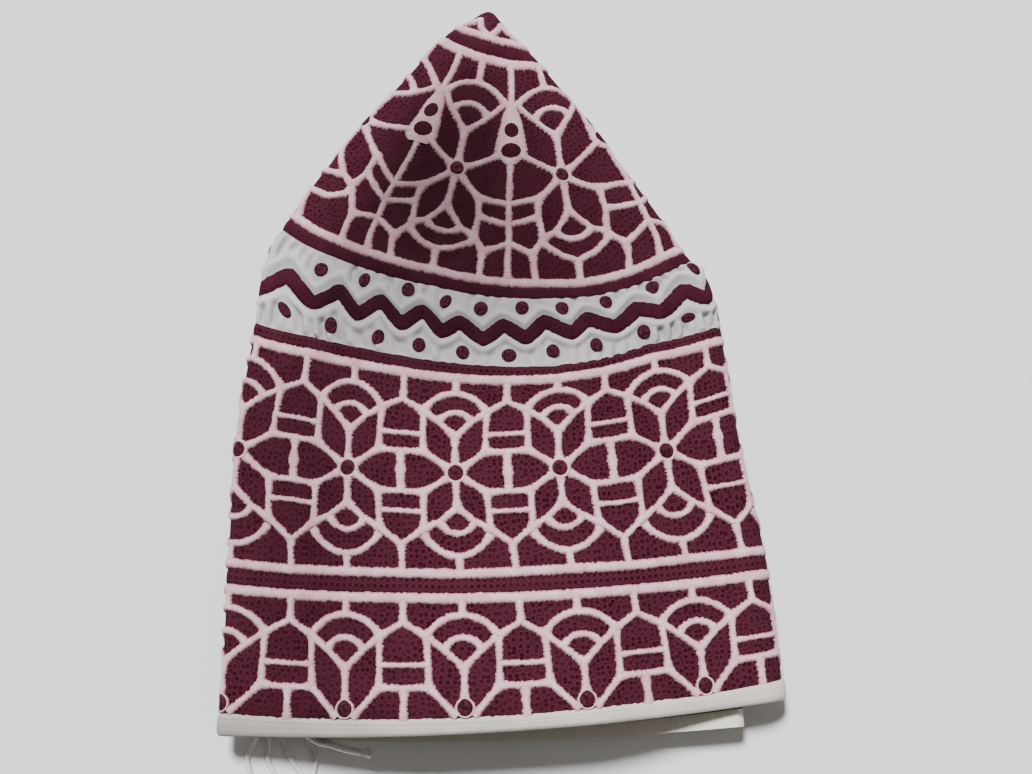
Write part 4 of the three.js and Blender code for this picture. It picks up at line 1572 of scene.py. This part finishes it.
# The surround gives a little warm light, and the camera sees it as pale as the floor
SURROUND_TINT = (1.0, 0.94, 0.86, 1)
SURROUND_LIGHT = 0.13
SURROUND_SEEN = (1.35, 1.37, 1.38, 1)
FLOOR_REACH = 20.0
FLOOR_PATCH = 0.4
FLOOR_TONES = ((0.74, 0.75, 0.755, 1), (0.70, 0.71, 0.715, 1))


def aim(obj, target):
    """Turns a camera or light so that it looks at a place, with its top upwards."""
    obj.rotation_euler = (target - obj.location).to_track_quat("-Z", "Y").to_euler()


def build_camera():
    """The camera looks along +Y, steeply down on the front."""
    data = bpy.data.cameras.new("photo_camera")
    data.sensor_width = SENSOR_WIDTH
    data.lens = FOCAL_PIXELS / PHOTO_WIDTH * SENSOR_WIDTH
    data.clip_start = CLIP_START
    camera = put_in_scene("photo_camera", data)
    angle = np.radians(VIEW_ELEVATION)
    camera.location = LOOK_AT + VIEW_DISTANCE * Vector((0, -np.cos(angle), np.sin(angle)))
    aim(camera, LOOK_AT)
    bpy.context.scene.camera = camera


def build_floor():
    """A wide, plain, pale floor."""
    finish = Finish("pale_floor", *FLOOR_GLOSS)
    finish.colour(finish.nodes.mix(finish.patches(FLOOR_PATCH), *FLOOR_TONES))
    mesh = bpy.data.meshes.new("floor")
    corners = [(x * FLOOR_REACH, y * FLOOR_REACH, 0) for x, y in ((-1, -1), (1, -1), (1, 1), (-1, 1))]
    mesh.from_pydata(corners, [], [(0, 1, 2, 3)])
    mesh.uv_layers.new(name=UV_NAME)
    mesh.materials.append(finish.material)
    floor = put_in_scene("floor", mesh)


def build_lights():
    """A soft key light from the upper left, a weak fill from the right and a pale surround."""
    for name, place, spread, power, tint in LIGHTS:
        data = bpy.data.lights.new(name, "SUN")
        data.angle = np.radians(spread)
        data.energy = power
        data.color = tint
        light = put_in_scene(name, data)
        light.location = place
        aim(light, Vector((0, 0, 0)))
    world = bpy.data.worlds.new("studio")
    bpy.context.scene.world = world
    world.use_nodes = True
    nodes = Nodes(world.node_tree)
    soft = world.node_tree.nodes["Background"]
    soft.inputs["Color"].default_value = SURROUND_TINT
    soft.inputs["Strength"].default_value = SURROUND_LIGHT
    seen = nodes.add("Background", {"Color": SURROUND_SEEN, "Strength": 1.0})
    by_camera = nodes.add("LightPath").outputs["Is Camera Ray"]
    which = nodes.add("MixShader", {0: by_camera, 1: soft.outputs[0], 2: seen.outputs[0]})
    nodes.put(world.node_tree.nodes["World Output"].inputs["Surface"], which.outputs[0])


build_camera()
build_floor()
build_lights()
build_crown()
build_band()
build_wall()
build_hem()
build_threads()
